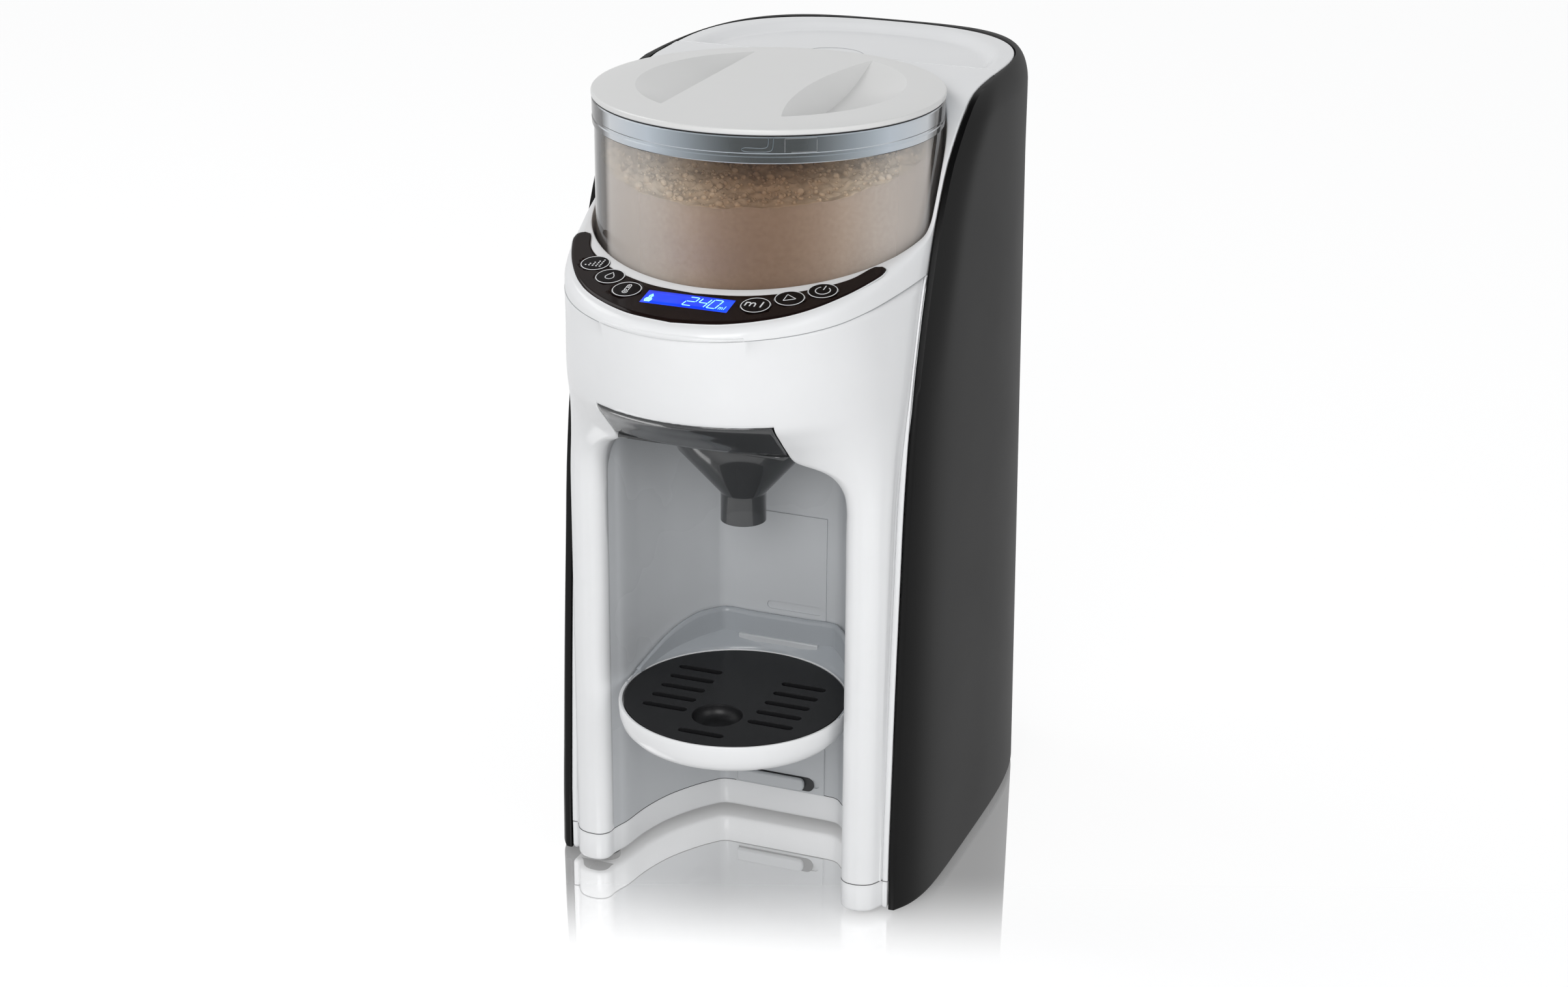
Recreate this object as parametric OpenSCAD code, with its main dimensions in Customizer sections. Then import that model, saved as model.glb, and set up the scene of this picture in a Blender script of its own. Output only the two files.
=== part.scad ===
// Baby formula maker: a powder hopper and a water tank above a bottle bay.
// Millimetres, +Z up, front towards -Y, standing on its rubber feet.

/* [View] */
// Sub-part to draw

/* [Body] */
// Width over the two black side shells
body_w = 175; // [172:0.5:182]
// Wall of the moulded housings
wall = 2.6; // [2:0.1:3]
// Height of the rubber feet below the base
foot_h = 3; // [2:0.5:5]
// Depth of the dish in the tank cover
dish_d = 2.8; // [1:0.1:3.2]

/* [Controls] */
// Radius of a push button
button_r = 6.3; // [5:0.1:6.5]
// Travel of a push button
button_travel = 0.8; // [0.5:0.1:1]

/* [Hopper] */
// Wall of the clear powder container
hopper_wall = 2.2; // [1.5:0.1:2.4]
// Height of the powder at the axis of the container
powder_top = 323; // [290:1:325]
// Radius of the ring of dosing holes in the wheel
dose_ring_r = 30; // [29:0.5:32]

/* [Funnel and tray] */
// Outer radius of the funnel spout
spout_r = 9.8; // [8:0.1:11]
// Height of the top of the drip plate above the base
tray_z = 84; // [76:1:100]
// Rows of slots on each side of the drip plate
slot_rows = 5; // [3:1:5]
// Width of one drip slot
slot_w = 3.4; // [2.5:0.1:4]

/* [Hidden] */
$fn = 96;
eps = 0.01;
gap = 0.2;
fit = 0.3;
y_mid = 42.5;
side_x = body_w / 2;
white_x = 75.1;
deck_z = 342.3;
base_z = 13.2;
tilt = atan(0.2);
hop_y = 16.9;
hop_r = 72.2;
well_r = 73.7;
well_z = 254;
lid_r = 73.3;
lid_z = 345.9;
rim_z = 343.5;
seat_t = 3;
bay_top = 205.5;
spout_y = -10.5;
chin_z = 214.3;
chin_top = 231.6;
fascia_x = 37.9;
split_y = 96;
rear_y = 172.5;
dock_z = 118;
tray_y = -20.4;
tray_r = 48.2;
bowl_r = 50.4;
gear_m = 1.5;
gear_n = 24;
pinion_n = 12;
pinion_y = hop_y + gear_m * (gear_n + pinion_n) / 2;
gear_z = 245;
hop_floor = 259;
foot_points = [[62.5, -20], [-62.5, -20], [56, 140], [-56, 140]];
screw_points = [[62, 30], [-62, 30], [62, 100], [-62, 100]];
button_x = [27.6, 38.7, 49.3];
button_y = [-66.4, -58, -49.1];

// ---- curves ----
function mix(a, b, t) = a + (b - a) * t;
function backwards(p) = [for (i = [len(p) - 1:-1:0]) p[i]];
function mirrored(p) = [for (q = p) [-q.x, q.y]];
function spline(a, b, c, d, t) =
    0.5 * (2 * b + (c - a) * t + (2 * a - 5 * b + 4 * c - d) * t * t
        + (3 * b - a - 3 * c + d) * t * t * t);
function smooth(p, n) = [
    for (i = [0:len(p) - 2], k = [0:n - 1])
        spline(p[max(i - 1, 0)], p[i], p[i + 1], p[min(i + 2, len(p) - 1)], k / n),
    p[len(p) - 1]];
function across(p, i) =
    let (a = p[max(i - 1, 0)], b = p[min(i + 1, len(p) - 1)], t = [b.x - a.x, b.y - a.y])
    [-t.y, t.x] / norm(t);
function shifted(p, d) = [for (i = [0:len(p) - 1]) [p[i].x, p[i].y] + d * across(p, i)];
function ribbon(p, d) = concat(p, backwards(shifted(p, d)));
function arc(r, a0, a1, n) = [for (i = [0:n]) let (a = mix(a0, a1, i / n)) [r * cos(a), r * sin(a)]];
function moved(p, d) = [for (q = p) q + d];

// Black and white seam seen from the side, as [height, y]
seam_line = smooth([[0, -30], [75, -27.4], [150, -22.5], [206, -17], [238, -10.5], [268, -1],
    [298, 12], [317, 24.5], [334, 45], [340.5, 60], [342.2, 80], [344, 110]], 3);
function seam_y(z) = lookup(z, seam_line);

// White front: legs below, bulging head above, blended over the chin
leg_half = [[0, -31.8], [11, -31.8], [22, -31.8], [32, -31.8], [41, -31.8], [49, -31.8],
    [54.2, -31.8], [57.6, -35.8], [62.3, -37.4], [66.2, -36.7], [69.5, -34.3], [71.6, -30.7]];
head_n = len(leg_half) - 1;
function head_r(z) = lookup(z, [[232, 72], [270, 68]]);
function head_y(z) = lookup(z, [[232, -14.3], [270, -24]]);
function head_share(z) =
    lookup(z, [[180, 0], [190, 0.07], [200, 0.26], [chin_z, 0.58], [chin_top, 0.98], [240, 1]]);
function front_point(z, k) =
    let (a = -90 + 7 * k, h = [head_r(z) * cos(a), head_y(z) + head_r(z) * sin(a)])
    mix(leg_half[k], h, head_share(z));
function strip_x(z) = mix(72, white_x - 0.8, head_share(z));
function side_half(z, y_end) =
    let (s = seam_y(z) + gap)
    [[strip_x(z), s - 1.2], [strip_x(z) + 0.3, s], [white_x, s + 0.4], [white_x, y_end]];
function front_half(z, y_end) =
    concat([for (k = [0:head_n]) front_point(z, k)], side_half(z, y_end));
function front_path(z, y_end) =
    let (h = front_half(z, y_end))
    concat(mirrored(backwards(h)), [for (i = [1:len(h) - 1]) h[i]]);
function at_z(p, z) = [for (q = p) [q.x, q.y, z]];
skin_levels = [base_z + gap, 75, 150, 180, 190, 200, 207, chin_z, 223, chin_top, 240, 255, 270, 290];

// Head outline used above the seam line of the shelf
function shelf_half(d) = concat(
    [for (k = [0:head_n]) let (a = -90 + 7 * k) [(68 - d) * cos(a), -24 + (68 - d) * sin(a)]],
    [[white_x - d, 0], [white_x - d, 30]]);
function shelf_ring(d, z0, slope) =
    let (h = shelf_half(d), p = concat(mirrored(backwards(h)), [for (i = [1:len(h) - 1]) h[i]]))
    [for (q = p) [q.x, q.y, z0 + slope * q.y]];
function seam_slope(f) = mix(0.2, 0.08, f);
function shelf_drop(f) = 292 - 15 * f;

// Shelf, shoulder and deck seen from the side
shoulder_line = smooth([[6, 293.2], [11, 297], [17.5, 307], [24.5, 317], [33, 325.3], [45, 333.6],
    [58, 339.6], [75, 342.2], [split_y - gap / 2, 342.4]], 4);

// Bay wall in plan, right half
bay_half = [[54, -60], [53.7, -30], [52, -20.8], [50, -7.3], [46.9, 4], [42.9, 13.5],
    [36.6, 24], [30.6, 31.6], [27.5, 34.2], [0, 34.2]];
function bay_path(d) =
    let (h = shifted(bay_half, -d), p = [for (i = [0:len(h) - 2]) h[i]])
    concat(p, [[0, 34.2 + d]], backwards(mirrored(p)));

// Plan of the body between the side shells
function rear_corner(x, y, r, n) = moved(arc(r, 0, 90, n), [x - r, y - r]);
function base_half(d) = concat(
    [for (k = [6:head_n]) leg_half[k] + [k < 8 ? d : -d, d]],
    [[72 - d, -29.5 + d], [74.8 - d, -29 + d]], rear_corner(74.8 - d, rear_y - 3 - d, 46, 8));

// ---- helpers ----
module placed() {
    translate([0, -y_mid, foot_h])
        children();
}

// Rings stacked into a solid; a strip ring is an outer path followed by its inner path backwards
module loft(rings, strip = false) {
    n = len(rings[0]);
    m = len(rings);
    cap = strip ? [for (i = [0:n / 2 - 2]) [i, i + 1, n - 2 - i, n - 1 - i]] : [[for (i = [0:n - 1]) i]];
    lid = [for (f = cap) [for (i = backwards(f)) (m - 1) * n + i]];
    walls = [for (j = [0:m - 2], i = [0:n - 1]) let (a = j * n + i, b = j * n + (i + 1) % n)
        each [[a, a + n, b + n], [a, b + n, b]]];
    polyhedron(points = [for (r = rings) each r], faces = concat(cap, walls, lid));
}

module front_skin(levels, t, y_end) {
    loft([for (z = levels) at_z(ribbon(front_path(z, y_end), t), z)], true);
}

module shelf_slab(d, z_cut, z_low) {
    top = 292 - z_cut;
    low = shelf_drop(1) + gap / 2 - z_low;
    loft([shelf_ring(d, low, seam_slope(1)),
        shelf_ring(d, mix(low, top, 0.6), mix(seam_slope(1), 0.2, 0.6)),
        shelf_ring(d + 0.5, mix(low, top, 0.86), mix(seam_slope(1), 0.2, 0.86)),
        shelf_ring(d + 1.6, top, 0.2)]);
}

module along_x(points, half) {
    rotate([90, 0, 90])
        translate([0, 0, -half])
            linear_extrude(2 * half)
                polygon(points);
}

module below_plane(z0, slope, depth) {
    along_x([[-120, z0 - 120 * slope], [120, z0 + 120 * slope],
        [120, z0 + 120 * slope - depth], [-120, z0 - 120 * slope - depth]], 100);
}

module tube(r, r_in, h) {
    difference() {
        cylinder(r = r, h = h);
        translate([0, 0, -1])
            cylinder(r = r_in, h = h + 2);
    }
}

module on_shelf(x, y, lift) {
    translate([x, y, 292 + 0.2 * y])
        rotate([tilt, 0, 0])
            translate([0, 0, lift])
                children();
}

module capsule(length, width) {
    square([length - width, width], center = true);
    for (i = [-1, 1])
        translate([i * (length - width) / 2, 0])
            circle(width / 2, $fn = 32);
}

// ---- housings ----
module base_plan(d) {
    difference() {
        polygon(concat(base_half(d), mirrored(backwards(base_half(d)))));
        polygon(bay_path(d));
    }
}

module base_frame() {
    color([0.93, 0.93, 0.93])
        placed()
            difference() {
                linear_extrude(base_z)
                    base_plan(0);
                translate([0, 0, 3])
                    linear_extrude(base_z)
                        base_plan(wall);
                for (p = foot_points)
                    translate([p.x, p.y, -1])
                        cylinder(r = 2.2, h = 8);
                for (p = screw_points)
                    translate([p.x, p.y, -1])
                        cylinder(r = 1.7, h = 8);
            }
}

module bay_void(d) {
    intersection() {
        translate([0, 0, -1])
            linear_extrude(bay_top + 12)
                polygon(bay_path(d));
        rotate([90, 0, 0])
            translate([0, 0, -60])
                linear_extrude(180)
                    bay_front(d);
    }
}

module bay_front(d) {
    half = 55 + d;
    top = bay_top + d;
    translate([-half, -1])
        square([2 * half, top - 13]);
    translate([14 - half, top - 15])
        square([2 * half - 28, 15]);
    for (i = [-1, 1])
        translate([i * (half - 14), top - 14])
            circle(14);
}

module chin_window() {
    translate([-fascia_x - fit, -120, 150])
        cube([2 * (fascia_x + fit), 100, chin_top + fit - 150]);
    intersection() {
        translate([0, -36, bay_top - 14])
            rotate([-23, 0, 0])
                translate([-46, -60, -30])
                    cube([92, 60, 44]);
        translate([-45, -120, 150])
            cube([90, 120, 80]);
    }
}

module front_housing() {
    color([0.95, 0.95, 0.95])
        placed()
            difference() {
                front_skin(skin_levels, wall, 90);
                translate([0, 0, -2])
                    bay_void(0);
                chin_window();
                difference() {
                    translate([-100, -120, 255])
                        cube([200, 240, 60]);
                    below_plane(shelf_drop(1) - gap / 2, seam_slope(1), 80);
                }
                translate([0, hop_y, 240])
                    cylinder(r = well_r + 0.6, h = 60);
            }
}

module shoulder(t) {
    line = [for (p = shoulder_line) [p.x, p.y - t]];
    low = shelf_drop(1) + gap / 2 - t;
    along_x(concat(line, [[split_y - gap / 2, low + 0.08 * split_y], [6, low + 0.5]]), white_x - t);
}

module top_housing() {
    color([0.95, 0.95, 0.95])
        placed()
            difference() {
                union() {
                    difference() {
                        union() {
                            shelf_slab(0, 0, 0);
                            shoulder(0);
                        }
                        difference() {
                            union() {
                                shelf_slab(wall, wall, 1);
                                translate([0, 2, 0])
                                    shoulder(wall);
                            }
                            translate([0, hop_y, 200])
                                cylinder(r = well_r + wall, h = 200);
                        }
                    }
                    intersection() {
                        translate([0, hop_y, well_z - 2])
                            tube(well_r + wall, well_r, 30);
                        translate([-66, -100, well_z - 3])
                            cube([132, 200, 40]);
                    }
                }
                translate([0, hop_y, well_z - 10])
                    cylinder(r = well_r, h = 150);
                panel_solid(fit / 2, 1.8);
                for (s = [-1, 1], i = [0:2])
                    on_shelf(s * button_x[i], button_y[i], -8)
                        cylinder(r = button_r + 0.4, h = 12);
                on_shelf(0, -69.6, -6)
                    cube([38, 11.4, 12], center = true);
            }
}

module bay_liner() {
    color([0.86, 0.87, 0.89])
        placed()
            difference() {
                union() {
                    difference() {
                        translate([0, 0, base_z + gap])
                            linear_extrude(bay_top + 1 - base_z)
                                polygon(bay_path(2));
                        translate([0, 0, -eps])
                            bay_void(0);
                    }
                    for (s = [-1, 1])
                        translate([s * 37.9 - 2.5, -25, bay_top + 1])
                            cube([5, 50, 5.3]);
                }
                translate([-80, -80, 0])
                    cube([160, 52, bay_top - 1]);
                translate([-80, -80, 0])
                    cube([160, 40, 300]);
                translate([-35.3, -100, bay_top - 13.8])
                    cube([70.6, 128, 40]);
                translate([-22, 20, 0])
                    cube([44, 30, 150]);
            }
}

module rail_panel() {
    color([0.84, 0.85, 0.87])
        placed()
            difference() {
                translate([-21.6, 34.3, base_z + gap])
                    cube([43.2, 2, 150 - base_z - 2 * gap]);
                for (z = [18.5, 47, 76, 105])
                    translate([6.5, 40, z])
                        rotate([90, 0, 0])
                            linear_extrude(10)
                                capsule(26, 4);
            }
}

// Side shell: path in plan at height z, from the front facet round the rear corner
function shell_x(z) = side_x - mix(0, 4.9, min(z, 300) / 300);
function shell_top(z) = z < 329 ? 0 : 7 * (1 - sqrt(max(0, 1 - pow((z - 329) / 13.4, 2))));
function shell_bulge(z, u) =
    let (top = shell_x(z) - shell_top(z))
    max(77.2, top - max(top - 78.3, 1) * exp(-u / 11));
function shell_path(z, d) =
    let (s = seam_y(z), e = shell_top(z), r = 50 - e, y_end = 178 - e,
        x_end = max(shell_bulge(z, 90) - 0.4, 76), last = y_end - r)
    concat(
        d > 0 ? [[70, s + d]] : [[70, s], [77, s], [shell_bulge(z, 0), s + 0.02]],
        [for (u = [3, 7, 13, 22, 36]) [shell_bulge(z, u) - d, s + u]],
        [for (f = [0.4, 0.8]) [mix(shell_bulge(z, 36), x_end, f) - d, mix(s + 36, last, f)]],
        moved(arc(r - d, 0, 84, 9), [x_end - r, last]),
        [[26, y_end - d]]);
function shell_ring(z, d) = at_z(concat([[30, 100]], shell_path(z, d)), z);
shell_levels = [0, 75, 150, 206, 222, 238, 254, 268, 283, 298, 308, 317, 325, 330, 334, 337,
    339.5, 341.3, deck_z];
core_levels = [-1, 75, 150, 206, 238, 268, 298, 317, 329];

module side_shell() {
    plan = concat([[-10, -60], [white_x + fit, -60]],
        rear_corner(white_x + fit, rear_y + fit, 46, 8), [[-10, rear_y + fit]]);
    color([0.06, 0.06, 0.06])
        placed()
            difference() {
                loft([for (z = shell_levels) shell_ring(z, 0)]);
                loft([for (z = core_levels) shell_ring(z, wall)]);
                translate([0, 0, -2])
                    linear_extrude(deck_z + 4)
                        polygon(plan);
                translate([-4, 90, -2])
                    cube([40, 100, deck_z + 4]);
            }
}

module side_shell_right() {
    side_shell();
}

module side_shell_left() {
    mirror([1, 0, 0])
        side_shell();
}

module rear_frame() {
    color([0.8, 0.81, 0.82])
        placed()
            difference() {
                union() {
                    translate([-72.2, 93.6, base_z + gap])
                        cube([144.4, 3, 318 - base_z]);
                    translate([-70, 96, dock_z - 3])
                        cube([140, 66, 3]);
                    for (s = [-1, 1])
                        translate([s * 66 - 1.5, 96, base_z + gap])
                            cube([3, 50, dock_z - 3 - base_z]);
                }
                translate([0, 120, dock_z - 10])
                    cylinder(r = 13, h = 20);
                translate([0, 90, 40])
                    rotate([-90, 0, 0])
                        cylinder(r = 3.6, h = 10);
            }
}

module rear_cover() {
    color([0.07, 0.07, 0.07])
        placed()
            difference() {
                translate([-35.6, 174.8, 0])
                    cube([71.2, 3, dock_z - 1]);
                translate([-13.2, 170, 24.8])
                    cube([26.4, 12, 18.4]);
                for (i = [0:5])
                    translate([0, 190, 70 + 6 * i])
                        rotate([90, 0, 0])
                            linear_extrude(30)
                                capsule(40, 2.6);
            }
}

// ---- control panel ----
panel_inner = smooth([[0, -62.9], [20, -60.3], [38, -53], [50, -44.2], [57, -36.5], [60.8, -28.5]], 4);
panel_outer = smooth([[62.2, -25.4], [65.6, -25], [67.6, -28], [66.4, -34], [60, -48.6], [50, -63.8],
    [38, -74.6], [20, -83.4], [0, -86.6]], 4);

module panel_plan(d) {
    half = concat(panel_inner, panel_outer);
    offset(delta = d)
        polygon(concat(half, [for (i = [len(half) - 2:-1:1]) [-half[i].x, half[i].y]]));
}

module panel_solid(d, depth) {
    intersection() {
        translate([0, 0, 255])
            linear_extrude(60)
                panel_plan(d);
        below_plane(292.2, 0.2, depth + 0.2);
    }
}

module control_panel() {
    color([0.1, 0.08, 0.07])
        placed()
            difference() {
                panel_solid(0, 1.6);
                for (s = [-1, 1], i = [0:2])
                    on_shelf(s * button_x[i], button_y[i], -5)
                        cylinder(r = button_r + gap, h = 10);
                on_shelf(0, -69.6, 0)
                    cube([37.4, 10.8, 8], center = true);
            }
}

module lcd_display() {
    color([0.1, 0.3, 1])
        placed()
            on_shelf(0, -69.6, -1.3)
                cube([37, 10.4, 3], center = true);
}

module push_button(side, i) {
    color([0.12, 0.1, 0.09])
        placed()
            on_shelf(side * button_x[i], button_y[i], -3.4) {
                cylinder(r = button_r, h = 3.7);
                translate([0, 0, -1.2])
                    cylinder(r = 2, h = 1.3);
            }
}

module button_strength() {
    push_button(-1, 2);
}

module button_water() {
    push_button(-1, 1);
}

module button_heat() {
    push_button(-1, 0);
}

module button_unit() {
    push_button(1, 0);
}

module button_start() {
    push_button(1, 1);
}

module button_power() {
    push_button(1, 2);
}

module control_board() {
    color([0.1, 0.4, 0.2])
        placed() {
            intersection() {
                translate([0, 0, 230])
                    linear_extrude(60)
                        difference() {
                            translate([0, -20])
                                circle(60);
                            translate([0, 17])
                                circle(79);
                            translate([-100, -36])
                                square([200, 100]);
                        }
                below_plane(283.6, 0.2, 1.6);
            }
            for (s = [-1, 1], i = [0:2])
                on_shelf(s * button_x[i], button_y[i], -8.4)
                    translate([-2.5, -2.5, 0])
                        cube([5, 5, 3.6 - button_travel - eps]);
        }
}

// ---- powder drive ----
module hopper_seat() {
    color([0.3, 0.31, 0.33])
        placed() {
            difference() {
                translate([0, hop_y, well_z - 1.8])
                    cylinder(r = well_r - gap, h = seat_t);
                translate([0, hop_y, well_z - 5])
                    cylinder(r = 9, h = 10);
                translate([0, hop_y - dose_ring_r, well_z - 5])
                    cylinder(r = 8, h = 10);
            }
            translate([0, hop_y, well_z + 1.1])
                tube(well_r - gap, 64, hop_floor - gap - well_z - 1.1);
            translate([0, hop_y - dose_ring_r, 236])
                tube(9.4, 8, well_z - 1.7 - 236);
        }
}

function involute(rb, r) =
    let (t = sqrt(max(0, pow(r / rb, 2) - 1)))
    t * 180 / PI - atan(t);
function flank(n, r, s) =
    let (rp = gear_m * n / 2, rb = rp * cos(20))
    s * (84 / n + involute(rb, rp) - involute(rb, max(r, rb)));
function gear_points(n) =
    let (rp = gear_m * n / 2, ra = rp + gear_m * 0.92, rd = rp - gear_m * 1.2)
    [for (i = [0:n - 1], r = [[rd, -1], [rp - 0.5, -1], [rp + 0.4, -1], [ra, -1],
        [ra, 1], [rp + 0.4, 1], [rp - 0.5, 1], [rd, 1]])
        let (a = 360 * i / n + flank(n, r[0], r[1])) r[0] * [cos(a), sin(a)]];

module drive_gear() {
    color([0.9, 0.9, 0.88])
        placed()
            translate([0, hop_y, gear_z]) {
                difference() {
                    linear_extrude(5)
                        rotate(90)
                            polygon(gear_points(gear_n));
                    translate([0, 0, -1])
                        cylinder(r = 2.58, h = 8);
                }
                translate([0, 0, 4.99])
                    tube(7, 2.58, 6.6);
                translate([0, 0, 11.5])
                    linear_extrude(3.8)
                        square([11, 4], center = true);
            }
}

module drive_plate() {
    color([0.55, 0.57, 0.6])
        placed()
            difference() {
                union() {
                    translate([-36, 0, gear_z - 4])
                        cube([72, 88, 2.4]);
                    translate([0, hop_y, gear_z - 2])
                        cylinder(r = 2.5, h = 12);
                }
                translate([0, pinion_y, gear_z - 10])
                    cylinder(r = 4, h = 20);
            }
}

module motor() {
    color([0.7, 0.71, 0.73])
        placed()
            translate([0, pinion_y, gear_z - 36.2]) {
                cylinder(r = 14, h = 32);
                translate([0, 0, 31.9])
                    cylinder(r = 3.6, h = 3.2);
            }
}

module motor_pinion() {
    color([0.85, 0.72, 0.4])
        placed()
            translate([0, pinion_y, gear_z]) {
                linear_extrude(5)
                    rotate(-90 + 180 / pinion_n)
                        polygon(gear_points(pinion_n));
                translate([0, 0, -1])
                    cylinder(r = 1.5, h = 1.1);
            }
}

// ---- powder container ----
module hopper() {
    color([0.85, 0.88, 0.9, 0.3])
        placed()
            translate([0, hop_y, hop_floor])
                difference() {
                    cylinder(r = hop_r, h = 331.8 - hop_floor);
                    translate([0, 0, 3])
                        cylinder(r = hop_r - hopper_wall, h = 100);
                    translate([0, 0, -1])
                        cylinder(r = 8, h = 2.8);
                    translate([0, 0, -1])
                        cylinder(r = 2, h = 10);
                    translate([0, -dose_ring_r, -1])
                        cylinder(r = 7.5, h = 10);
                }
}

module wheel_shaft() {
    color([0.75, 0.76, 0.78])
        placed()
            translate([0, hop_y, hop_floor + 0.1]) {
                difference() {
                    cylinder(r = 7.6, h = 1.5);
                    cube([11.8, 4.8, 2.4], center = true);
                }
                translate([0, 0, 1.2])
                    cylinder(r = 1.95, h = 10.4);
            }
}

module dosing_wheel() {
    color([0.93, 0.93, 0.92])
        placed()
            translate([0, hop_y, hop_floor + 3.2])
                difference() {
                    cylinder(r = 66, h = 6);
                    translate([0, 0, -1])
                        cylinder(r = 2, h = 10);
                    for (i = [0:7])
                        rotate(-90 + 45 * i)
                            translate([dose_ring_r, 0, -1])
                                cylinder(r = 7, h = 10);
                }
}

module scraper() {
    color([0.75, 0.78, 0.8])
        placed()
            translate([0, hop_y, hop_floor + 9.6])
                difference() {
                    union() {
                        cylinder(r = 6, h = 1.6);
                        translate([0, -dose_ring_r, 0])
                            cylinder(r = 11, h = 1.6);
                        translate([-4, -69.6, 0])
                            cube([8, 69, 1.6]);
                    }
                    translate([0, 0, -1])
                        cylinder(r = 2.6, h = 4);
                }
}

module powder() {
    color([0.93, 0.88, 0.78])
        placed()
            intersection() {
                translate([0, hop_y, hop_floor + 12])
                    cylinder(r = hop_r - hopper_wall - gap, h = 326.6 - hop_floor - 12);
                below_plane(powder_top - 0.17 * hop_y, 0.17, 90);
            }
}

module bayonet_slots() {
    for (a = [-66, 114])
        rotate(a) {
            translate([72.4, -4, 337])
                cube([3, 12, 2.4]);
            translate([72.4, 5.6, 337])
                cube([3, 2.4, 10]);
        }
}

module hopper_collar() {
    color([0.66, 0.72, 0.75, 0.6])
        placed()
            translate([0, hop_y, 0]) {
                difference() {
                    translate([0, 0, 332])
                        tube(73.1, 67.8, rim_z - 332 - gap);
                    bayonet_slots();
                }
                translate([0, 0, 327])
                    tube(69.6, 67.8, 5.2);
            }
}

module lid_pocket(side, d) {
    if (side > 0)
        intersection() {
            translate([-8, 23.7, lid_z + 132])
                sphere(r = 146 + d);
            translate([181.9, 23.7, lid_z - 16])
                cylinder(r1 = 155 + d, r2 = 166.6 + d, h = 16 + eps);
        }
    else
        intersection() {
            translate([3, 22.5, lid_z + 118])
                sphere(r = 132.4 + d);
            translate([-110, -60, lid_z - 16])
                cube([81.2 + d, 170, 16 + eps]);
        }
}

module hopper_lid() {
    color([0.9, 0.9, 0.89])
        placed()
            difference() {
                union() {
                    translate([0, hop_y, rim_z])
                        cylinder(r = lid_r, h = lid_z - rim_z);
                    translate([0, hop_y, 333])
                        cylinder(r = 66.4, h = rim_z - 333 + eps);
                }
                difference() {
                    translate([0, hop_y, 332])
                        cylinder(r = 64.4, h = rim_z - 332);
                    lid_pocket(1, 2);
                    lid_pocket(-1, 2);
                }
                lid_pocket(1, 0);
                lid_pocket(-1, 0);
                translate([0, hop_y, 336])
                    tube(70, 65.4, 2.4);
            }
}

module lid_seal() {
    color([0.7, 0.72, 0.74])
        placed()
            translate([0, hop_y, 336.1])
                tube(67.6, 65.6, 2.2);
}

// ---- funnel ----
module funnel_cone() {
    translate([0, spout_y, 164])
        tube(spout_r, spout_r - 1.5, 13.1);
    translate([0, spout_y, 177])
        difference() {
            union() {
                cylinder(r1 = spout_r, r2 = 28, h = 21);
                translate([0, 0, 21])
                    cylinder(r1 = 28, r2 = 34.6, h = 15.2);
            }
            translate([0, 0, -eps])
                cylinder(r1 = spout_r - 1.5, r2 = 26.2, h = 21 + 2 * eps);
            translate([0, 0, 21])
                cylinder(r1 = 26.2, r2 = 32.8, h = 15.3);
        }
}

module funnel_deck() {
    intersection() {
        difference() {
            translate([-fascia_x, -64, 212.2])
                cube([2 * fascia_x, 88, 2.7]);
            translate([0, spout_y, 210])
                cylinder(r = 32.7, h = 6);
        }
        translate([0, 44.4, 200])
            cylinder(r = 107.2, h = 20);
    }
}

module funnel() {
    color([0.28, 0.28, 0.29, 0.6])
        placed() {
            intersection() {
                front_skin([207, chin_z, 223, chin_top, 238], 2.2, 60);
                translate([-fascia_x, -120, chin_z + gap])
                    cube([2 * fascia_x, 100, chin_top - chin_z - 2 * gap]);
            }
            funnel_cone();
            funnel_deck();
            for (s = [-1, 1])
                translate([s * (fascia_x - 0.8) - 0.8, -50, 214.8])
                    cube([1.6, 74, 10]);
            translate([-fascia_x, 22.4, 214.8])
                cube([2 * fascia_x, 1.6, 10]);
        }
}

// ---- tray ----
module wing_plan() {
    intersection() {
        difference() {
            polygon(bay_path(-0.8));
            polygon(bay_path(-2.8));
        }
        translate([-80, -18])
            square([160, 80]);
    }
}

module tray_carrier() {
    color([0.86, 0.88, 0.9])
        placed() {
            intersection() {
                translate([0, 0, tray_z + 0.9])
                    linear_extrude(16)
                        wing_plan();
                below_plane(tray_z + 6, 0.3, 60);
            }
            translate([-19, 30.7, tray_z - 18])
                cube([38, 2.7, 24]);
            translate([-19, -6, tray_z - 18])
                cube([38, 37, 3.6]);
        }
}

module tray_bowl() {
    color([0.95, 0.95, 0.95])
        placed()
            translate([0, tray_y, tray_z - 14])
                difference() {
                    rotate_extrude()
                        polygon(concat([[0, 0], [44, 0]],
                            moved(arc(6.4, -90, 0, 10), [44, 6.4]), [[bowl_r, 14.6], [0, 14.6]]));
                    translate([0, 0, 2])
                        cylinder(r = 46, h = 20);
                    translate([0, 0, 12.2])
                        cylinder(r = tray_r + fit, h = 10);
                }
}

module tray_plate() {
    color([0.15, 0.15, 0.15])
        placed()
            translate([0, tray_y, tray_z - 1.7])
                difference() {
                    cylinder(r = tray_r, h = 2);
                    for (s = [-1, 1], i = [0:slot_rows - 1])
                        translate([s * 24.4, 20 - 10 * i, -1])
                            linear_extrude(5)
                                capsule(20, slot_w);
                    translate([0, -20, -1])
                        cylinder(r = 11, h = 5);
                    translate([0, -38.2, -1])
                        linear_extrude(5)
                            capsule(20, slot_w);
                }
}

// ---- water side ----
module tank_plan(d) {
    half = rear_corner(70 - d, 170 - d, 42 - d, 8);
    polygon(concat([[-70 + d, 98 + d], [70 - d, 98 + d]], half, mirrored(backwards(half))));
}

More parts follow.
